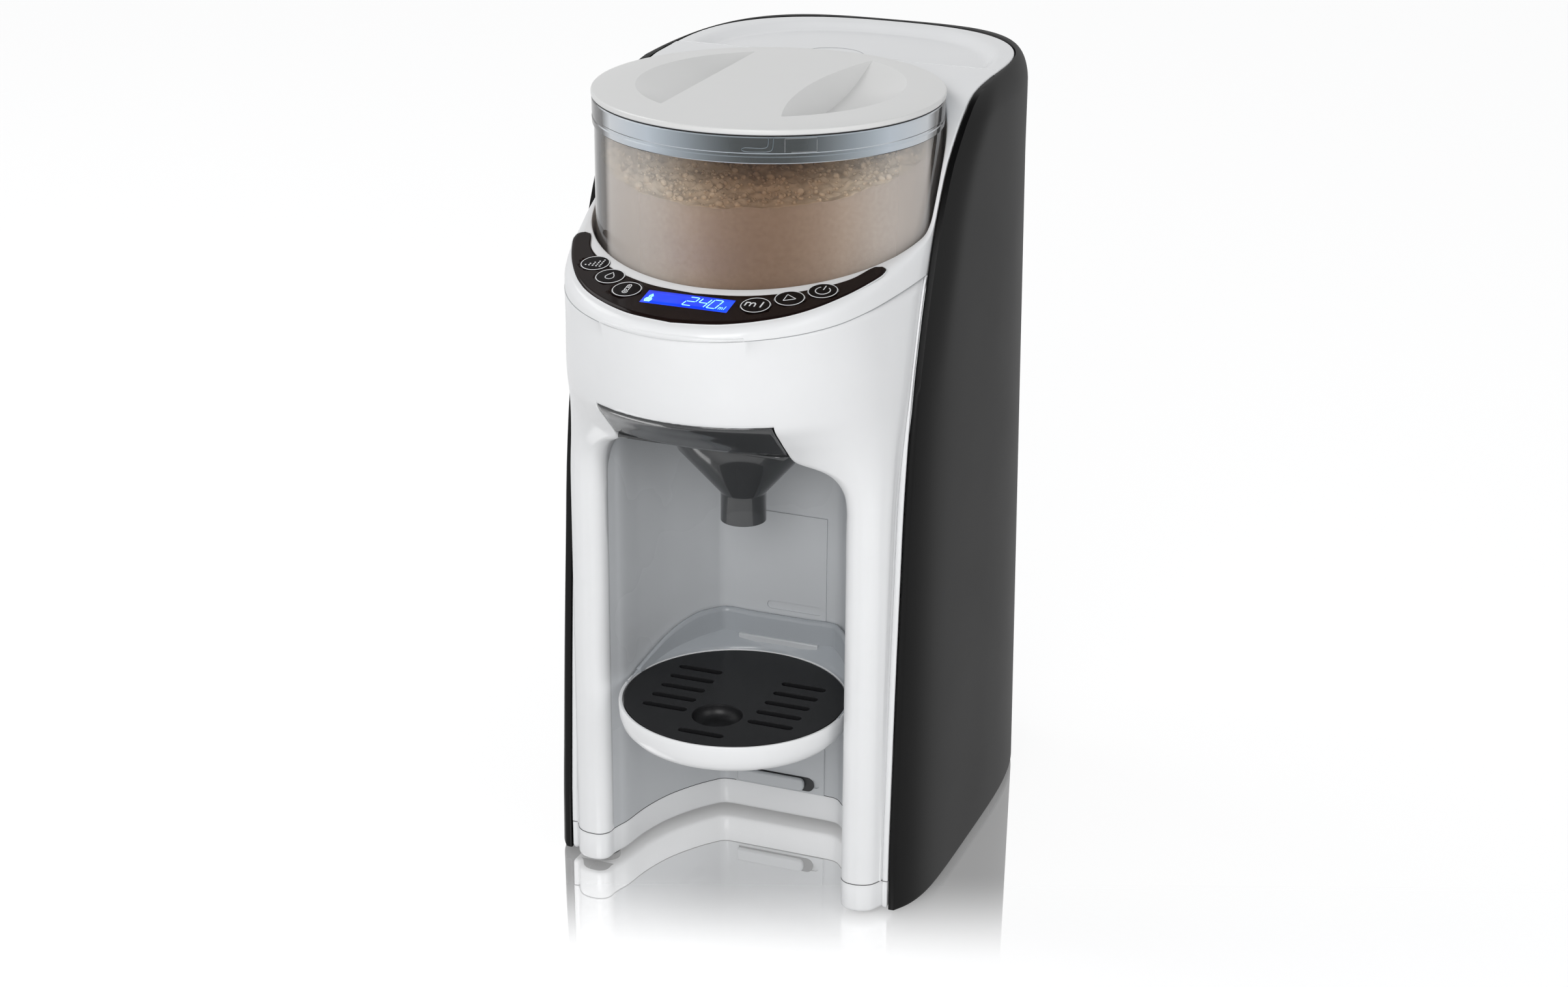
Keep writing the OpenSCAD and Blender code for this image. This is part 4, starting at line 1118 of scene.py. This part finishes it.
def powderCrumbs(count):
    spot = np.random.default_rng(7)
    seed = bmesh.new()
    bmesh.ops.create_icosphere(seed, subdivisions=1, radius=1)
    mesh = bpy.data.meshes.new("crumb")
    seed.to_mesh(mesh)
    seed.free()
    out = bmesh.new()
    for _ in range(count):
        a = spot.uniform(0, math.tau)
        r = 68.6 * math.sqrt(spot.uniform(0, 1))
        x, y = r * math.cos(a), tub["y"] + r * math.sin(a)
        size = spot.uniform(0.35, 1.0) * (1.9 if spot.uniform() > 0.85 else 0.95)
        at = place(x, y, min(powderTop(x, y) + size * 0.35, 333.0))
        turn = Matrix.Rotation(spot.uniform(0, 6.28), 4, Vector(spot.normal(size=3)).normalized())
        wide, high = spot.uniform(0.7, 1.3), spot.uniform(0.6, 1.1)
        scale = Matrix.Diagonal((size / 1000 * wide, size / 1000, size / 1000 * high, 1))
        before = len(out.verts)
        out.from_mesh(mesh)
        out.verts.ensure_lookup_table()
        bmesh.ops.transform(out, matrix=Matrix.Translation(at) @ turn @ scale, verts=out.verts[before:])
    bpy.data.meshes.remove(mesh)
    return out


# crumbs get the same brightened tan, partly painted light
addPiece("powderCrumbs", powderCrumbs(2200), "hopper", powderTanPaintedLight, sharp=80)
print("powder")

lidPale = finish("lidPale", (0.71, 0.71, 0.7), (0.69, 0.69, 0.68), rough=0.33, coat=0.12, grain=40)
lid = {"r": 73.34, "top": 345.95, "low": 343.5}
lidBody = lathed([(0.0, lid["top"]), (30, lid["top"]), (60, lid["top"]), (72.3, lid["top"]), (72.85, 345.85),
                  (73.2, 345.5), (lid["r"], 345.0), (lid["r"], 343.9), (73.0, lid["low"]), (66.4, lid["low"]),
                  (66.4, 333.4), (0.0, 333.4)], (0, tub["y"]), steps=160)
lidSkin = addPiece("lidBody", lidBody, "lid", lidPale, sharp=30)


def ballCutter(at, r, keep):  # part of a ball kept on one side of planes
    bm = bmesh.new()
    bmesh.ops.create_uvsphere(bm, u_segments=192, v_segments=160, radius=r / 1000)
    bmesh.ops.translate(bm, verts=bm.verts, vec=place(*at))
    for point, normal in keep:
        cut = bmesh.ops.bisect_plane(bm, geom=bm.verts[:] + bm.edges[:] + bm.faces[:], plane_co=place(*point),
                                     plane_no=normal, clear_outer=True)
        edges = [e for e in cut["geom_cut"] if isinstance(e, bmesh.types.BMEdge)]
        bmesh.ops.holes_fill(bm, edges=edges, sides=0)
    bmesh.ops.recalc_face_normals(bm, faces=bm.faces)
    return bm


leftMesh = ballCutter((3, 22.5, lid["top"] + 118), 132.4, [((0, 0, 348), (0, 0, 1)), ((-28.8, 0, 345), (1, 0, -0.12))])
rightMesh = ballCutter((-8, 23.7, lid["top"] + 132), 146, [((0, 0, 348), (0, 0, 1)), ((5, 0, 345), (-1, 0, 0))])
coneMesh = bmesh.new()
bmesh.ops.create_cone(coneMesh, cap_ends=True, segments=360, radius1=0.155, radius2=0.1685, depth=0.018)
bmesh.ops.translate(coneMesh, verts=coneMesh.verts, vec=place(181.9, 23.7, lid["top"] - 7))

leftCutter = looseObject("leftCutter", leftMesh)
rightCutter = looseObject("rightCutter", rightMesh)
coneCutter = looseObject("coneCutter", coneMesh)
addBoolean(rightCutter, "INTERSECT", coneCutter)
cutAway(lidSkin, [leftCutter, rightCutter], helpers=[coneCutter])
smoothed(lidSkin.data, 25)
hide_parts("hopper_lid")
print("lid")


# ---- smoky funnel with its curved front plate ----

smoke = clearFinish("smoke", (0.06, 0.062, 0.064), (0.052, 0.054, 0.056), through=0.28, gloss=0.12, lift=0.25)
funnelShape = {"y": -10.5, "spoutR": 9.8, "halfX": 37.85, "low": 214.5, "high": 231.5}


def fasciaSheet(u, v):
    x = mix(-funnelShape["halfX"], funnelShape["halfX"], u)
    z = mix(funnelShape["low"], funnelShape["high"], v)
    p = frontPoint(kAt(abs(x), z), z)
    return (x, p[1] + 0.1, z)


fascia = mappedGrid(60, 16, fasciaSheet)
addPiece("funnelFront", fascia, "funnel", smoke, wall=2.0, sharp=50, facing=(0, -1, 0))
spoutR = funnelShape["spoutR"]
funnelBowl = lathed([(8.3, 164), (spoutR, 164), (spoutR, 176.4), (10.2, 177.3), (28.2, 198), (34.4, 212.4),
                     (34.4, 214.6),
                     (32.7, 214.6), (32.6, 212.4), (26.4, 198), (8.9, 178), (8.3, 176.8), (8.3, 164)],
                    (0, funnelShape["y"]), steps=96)


def funnelDeck(u, v):
    a = u * math.tau
    ca, sa = math.cos(a), math.sin(a)
    reach = min(37.8 / max(abs(ca), 1e-3), (33.5 if sa > 0 else 47.5) / max(abs(sa), 1e-3))
    r = mix(33.2, reach, v)
    return (r * ca, funnelShape["y"] + r * sa, 213.6)


bowl = addPiece("funnelBowl", funnelBowl, "funnel", smoke, sharp=40)
addPiece("funnelDeck", mappedGrid(96, 4, funnelDeck), "funnel", smoke, wall=1.4, facing=(0, 0, 1))
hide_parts("funnel")
print("funnel")


# ---- drip tray ----

trayShape = {"y": -20.4, "r": 50.4, "plateR": 48.2, "holeY": -40.4, "holeR": 11}
trayR = trayShape["r"]
trayBowl = lathed([(0, 70.0), (30, 70.0), (42, 70.4), (46.4, 71.9), (48.9, 74.6), (50.1, 78.2), (trayR, 82),
                   (trayR, 83.9), (50.1, 84.5), (49.6, 84.6), (48.9, 84.3), (48.75, 82.2), (46.2, 82.2), (46, 72.2),
                   (0, 72.0)],
                  (0, trayShape["y"]), steps=128)
traySkin = addPiece("trayBowl", trayBowl, "tray", whiteGloss, sharp=40)
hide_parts("tray_bowl")
# painted shade: a dark disc inside the white bowl, so the slots and the hole look black
trayInsideShade = lathed([(0, 76), (45.9, 76), (45.9, 76.4), (0, 76.4)], (0, trayShape["y"]), steps=96)
addPiece("trayInsideShade", trayInsideShade, "tray", lineDark)


def roundEnded(x, y, length=20.6, high=3.9):
    right = arcPoints(x + (length - high) / 2, y, high / 2, -90, 90, 9)
    return right + [(2 * x - px, 2 * y - py) for px, py in right]


def plateWithHoles(z, thick):
    holes = [roundEnded(side * 24.4, -0.4 - 10 * i) for side in (-1, 1) for i in range(5)]
    holes += [roundEnded(0, -58.6), arcPoints(0, trayShape["holeY"], trayShape["holeR"], 0, 354, 60)]
    rim = arcPoints(0, trayShape["y"], trayShape["plateR"], 0, 357.5, 144)
    bm = bmesh.new()
    edges = []
    for loop in [rim] + holes:
        verts = [bm.verts.new(place(x, y, z)) for x, y in loop]
        edges += [bm.edges.new((verts[i - 1], verts[i])) for i in range(len(verts))]
    made = bmesh.ops.triangle_fill(bm, use_beauty=True, use_dissolve=False, edges=edges)["geom"]
    return pushed(bm, [f for f in made if isinstance(f, bmesh.types.BMFace)], (0, 0, -thick))


plateSkin = addPiece("trayPlate", plateWithHoles(84.25, 2.0), "tray_plate", plateDark, sharp=30)
recess = lathed([(10.95, 84.1), (10.8, 82.2), (9.8, 79.6), (7, 78.4), (0, 78.0), (0, 77.6), (7.4, 78), (10.3, 79.2),
                 (11.3, 82), (11.3, 83.6), (10.95, 84.1)], (0, trayShape["holeY"]), steps=60)
addPiece("trayRecess", recess, "tray_plate", plateDark, sharp=50)
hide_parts("tray_plate")
wingLine = [(x, y) for x, y in bayCurve if y > -14] + [(15, 34.2), (0, 34.2)]
wingLine = [(x - 1.0 * min(1, x / 20), y - 0.9) for x, y in wingLine]
wingFull = wingLine + [(-x, y) for x, y in reversed(wingLine[:-1])]


def wingSheet(u, v):
    x, y = wingFull[rowAt(u, len(wingFull) - 1)]
    high = min(101, 84.9 + 16.5 * ease(y, -22, 30))
    return (x, y, mix(84.9 - 2.5, high, v))


mistWhite = clearFinish("mistWhite", (0.6, 0.63, 0.66), (0.56, 0.59, 0.62), through=0.45, gloss=0.15, lift=0.3)
wings = mappedGrid(len(wingFull) - 1, 8, wingSheet)
addPiece("trayWings", wings, "tray", mistWhite, wall=1.6, facing=(0, 1, 0))


def wingFloor(u, v):  # thin shelf between the plate and the wings
    a = math.radians(mix(-8, 188, u))
    r0 = 49.0
    x0, y0 = r0 * math.cos(a), trayShape["y"] + r0 * math.sin(a)
    x1, y1 = wingFull[rowAt(u, len(wingFull) - 1)]
    return (mix(x0, x1, v), mix(y0, y1, v), mix(84.3, 85.2 + 6 * ease(y1, -20, 30), v))


wingShelf = mappedGrid(len(wingFull) - 1, 4, wingFloor)
addPiece("trayShelf", wingShelf, "tray", mistWhite, wall=1.0, facing=(0, 0, 1))


def block(x0, y0, z0, x1, y1, z1):
    bm = bmesh.new()
    bmesh.ops.create_cube(bm, size=1)
    for v in bm.verts:
        v.co = place(mix(x0, x1, v.co.x + 0.5), mix(y0, y1, v.co.y + 0.5), mix(z0, z1, v.co.z + 0.5))
    return bm


bracketMesh = joinMeshes(block(-19, 30.7, 66, 19, 33.4, 90), block(-19, -6, 66.2, 19, 31, 69.8))
bracket = addPiece("trayBracket", bracketMesh, "tray", coolWhite, bevel=0.5)
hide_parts("tray_carrier")
print("tray")


# ---- camera, floor and light ----

view = {"at": (0.42063, -1.09467, 0.62055), "azimuth": 21.11, "pitch": 21.48, "roll": 0.37, "lens": 65.10}


def aimCamera():
    a, e, r = (math.radians(view[k]) for k in ("azimuth", "pitch", "roll"))
    back = Vector((math.sin(a) * math.cos(e), -math.cos(a) * math.cos(e), math.sin(e)))
    right = Vector((0, 0, 1)).cross(back).normalized()
    up = back.cross(right)
    right, up = right * math.cos(r) + up * math.sin(r), up * math.cos(r) - right * math.sin(r)
    turn = Matrix((right, up, back)).transposed().to_4x4()
    data = bpy.data.cameras.new("photoView")
    data.lens = view["lens"]
    data.sensor_width = 36
    data.sensor_fit = "HORIZONTAL"
    data.clip_end = 50
    obj = bpy.data.objects.new("photoView", data)
    obj.matrix_world = Matrix.Translation(view["at"]) @ turn
    scene.collection.objects.link(obj)
    scene.camera = obj


aimCamera()

light = {"world": 0.6, "key": 13.5, "side": 4, "rear": 5.5}


def softBox(name, at, size, power, target=(0, 0, 0.18)):
    data = bpy.data.lights.new(name, "AREA")
    data.shape = "RECTANGLE"
    data.size, data.size_y = size
    data.energy = power
    obj = bpy.data.objects.new(name, data)
    obj.location = at
    obj.rotation_euler = (Vector(target) - Vector(at)).to_track_quat("-Z", "Y").to_euler()
    scene.collection.objects.link(obj)


softBox("key", (0.3, -1.6, 0.95), (0.9, 0.9), light["key"])
softBox("side", (1.6, -0.7, 0.9), (0.7, 1.4), light["side"])
softBox("rear", (-1.1, 0.15, 1.35), (0.9, 0.6), light["rear"])



def plainWhiteRays(tree):  # camera, glossy and transmission rays see the white background
    ray = addNode(tree, "LightPath")
    seen = ray.outputs["Is Camera Ray"]
    for kind in ("Is Glossy Ray", "Is Transmission Ray"):
        most = addNode(tree, "Math")
        most.operation = "MAXIMUM"
        tree.links.new(seen, most.inputs[0])
        tree.links.new(ray.outputs[kind], most.inputs[1])
        seen = most.outputs["Value"]
    return seen


def makeWorld():  # pale walls, darker ceiling
    world = bpy.data.worlds.new("studio")
    scene.world = world
    world.use_nodes = True
    tree = world.node_tree
    link = tree.links.new
    sky = tree.nodes["Background"]
    sky.inputs["Strength"].default_value = light["world"]
    white = addNode(tree, "Background")
    height = addNode(tree, "SeparateXYZ")
    link(addNode(tree, "TexCoord").outputs["Generated"], height.inputs["Vector"])
    for shader, walls, ceiling in ((sky, (0.97, 0.98, 1.0), (0.4, 0.41, 0.42)), (white, 1, 0.1)):
        link(rampOf(tree, height.outputs["Z"], [(0.58, walls), (0.86, ceiling)], "EASE"), shader.inputs["Color"])
    shown = mixShaders(tree, plainWhiteRays(tree), sky.outputs["Background"], white.outputs["Background"])
    link(shown, tree.nodes["World Output"].inputs["Surface"])


def makeFloor():  # white table that mirrors the foot of the machine and fades to plain white
    bm = bmesh.new()
    bmesh.ops.create_grid(bm, x_segments=2, y_segments=2, size=6)
    obj = looseObject("floor", bm)
    mat, tree, surface = nodesOf("whiteTable")
    link = tree.links.new
    link(rampOf(tree, noiseOf(tree, 3), [(0, 0.8), (1, 0.84)]), surface.inputs["Base Color"])
    surface.inputs["Roughness"].default_value = 0.04
    surface.inputs["Specular IOR Level"].default_value = 0.9
    toward = addNode(tree, "VectorMath")  # distance along the floor towards the viewer's side
    toward.operation = "DOT_PRODUCT"
    toward.inputs[1].default_value = (0.3602, -0.9329, 0)
    link(addNode(tree, "TexCoord").outputs["Object"], toward.inputs[0])
    fade = addNode(tree, "MapRange", From_Min=0.055, From_Max=0.138, To_Min=0.7, To_Max=0.0)
    fade.interpolation_type = "SMOOTHSTEP"
    link(toward.outputs["Value"], fade.inputs["Value"])
    mirror = addNode(tree, "BsdfGlossy", Roughness=0.02, Color=(1, 1, 1, 1))
    glow = addNode(tree, "Emission", Strength=0.6)
    chalk = addNode(tree, "BsdfDiffuse", Color=(0.62, 0.62, 0.62, 1))
    lit = addNode(tree, "AddShader")  # the pale part keeps the shadow of the machine
    link(glow.outputs["Emission"], lit.inputs[0])
    link(chalk.outputs["BSDF"], lit.inputs[1])
    table = mixShaders(tree, fade.outputs["Result"], lit.outputs["Shader"], mirror.outputs["BSDF"])
    link(mixShaders(tree, plainWhiteRays(tree), surface.outputs["BSDF"], table), outputOf(tree))
    obj.data.materials.append(mat)


makeWorld()
makeFloor()
print("camera, floor and light")


# ---- finishes of the inner pieces ----

steel = finish("steel", (0.6, 0.61, 0.62), (0.52, 0.53, 0.54), rough=0.3, metal=1.0, grain=80, edge=0.3)
brass = finish("brass", (0.72, 0.52, 0.25), (0.62, 0.44, 0.2), rough=0.3, metal=1.0, grain=80)
gearWhite = finish("gearWhite", (0.72, 0.71, 0.67), (0.68, 0.67, 0.63), rough=0.45, edge=0.3)
darkPlastic = finish("darkPlastic", (0.03, 0.03, 0.032), (0.024, 0.024, 0.026), rough=0.45, grain=200, edge=0.4)
greyPlastic = finish("greyPlastic", (0.42, 0.43, 0.45), (0.38, 0.39, 0.41), rough=0.45, grain=120, edge=0.4)
rubber = finish("rubber", (0.05, 0.05, 0.05), (0.035, 0.035, 0.035), rough=0.8, grain=300, bump=0.2)
boardGreen = finish("boardGreen", (0.02, 0.16, 0.07), (0.015, 0.12, 0.05), rough=0.4, grain=150)
tubeClear = finish("tubeClear", (0.7, 0.74, 0.76), (0.64, 0.68, 0.7), rough=0.35, grain=90)
smokeTank = clearFinish("smokeTank", (0.1, 0.105, 0.11), (0.08, 0.085, 0.09), through=0.45, gloss=0.08, lift=0.6)


# ---- inner frame that carries the tank, its shelf rounded inside the shells ----

inner = {"halfX": 72.2, "y": 93.6, "low": 13.4, "high": 318.2, "thick": 3, "shelfX": 70, "shelfZ": 115, "ribX": 66,
         "ribY": 146}
shelfY, thick = inner["y"] + inner["thick"], inner["thick"]
shelfLine = [(inner["shelfX"], shelfY), (inner["shelfX"], 138), (67, 147), (62, 154), (54, 160), (46, 162)]
shelfLine += [(-x, y) for x, y in reversed(shelfLine)]
wallLine = [(side * inner["halfX"], inner["y"], z) for side, z in
            [(-1, inner["low"]), (1, inner["low"]), (1, inner["high"]), (-1, inner["high"])]]
ribLine = [(shelfY, inner["low"]), (inner["ribY"], inner["low"]), (inner["ribY"], inner["shelfZ"]),
           (shelfY, inner["shelfZ"])]
ribs = [slab([(side * inner["ribX"] - thick / 2, y, z) for y, z in ribLine], (thick, 0, 0)) for side in (-1, 1)]
frameMesh = joinMeshes(slab(wallLine, (0, thick, 0)), slab([(x, y, inner["shelfZ"]) for x, y in shelfLine],
                                                           (0, 0, thick)), *ribs)
frameSkin = addPiece("innerFrame", frameMesh, "housing", greyPlastic)
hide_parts("rear_frame")
print("inner frame")


finishes = {"tray_plate": plateDark, "rail_panel": coolWhite, "rear_cover": darkPlastic,
            "control_board": boardGreen, "hopper_seat": greyPlastic, "drive_plate": steel, "drive_gear": gearWhite,
            "motor": steel, "motor_pinion": brass, "wheel_shaft": steel, "dosing_wheel": gearWhite, "scraper": steel,
            "lid_seal": rubber, "water_tank": smokeTank, "tank_valve": greyPlastic, "tank_seal": rubber,
            "heater": steel, "pump": darkPlastic, "water_tubes": tubeClear, "outlet_nozzle": steel,
            "power_board": boardGreen, "power_inlet": darkPlastic, "feet": rubber, "screws": steel}
for name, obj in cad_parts.items():
    if not obj.hide_render:
        obj.data.materials.clear()
        obj.data.materials.append(finishes.get(name, greyPlastic))
print("inner pieces keep their solids")
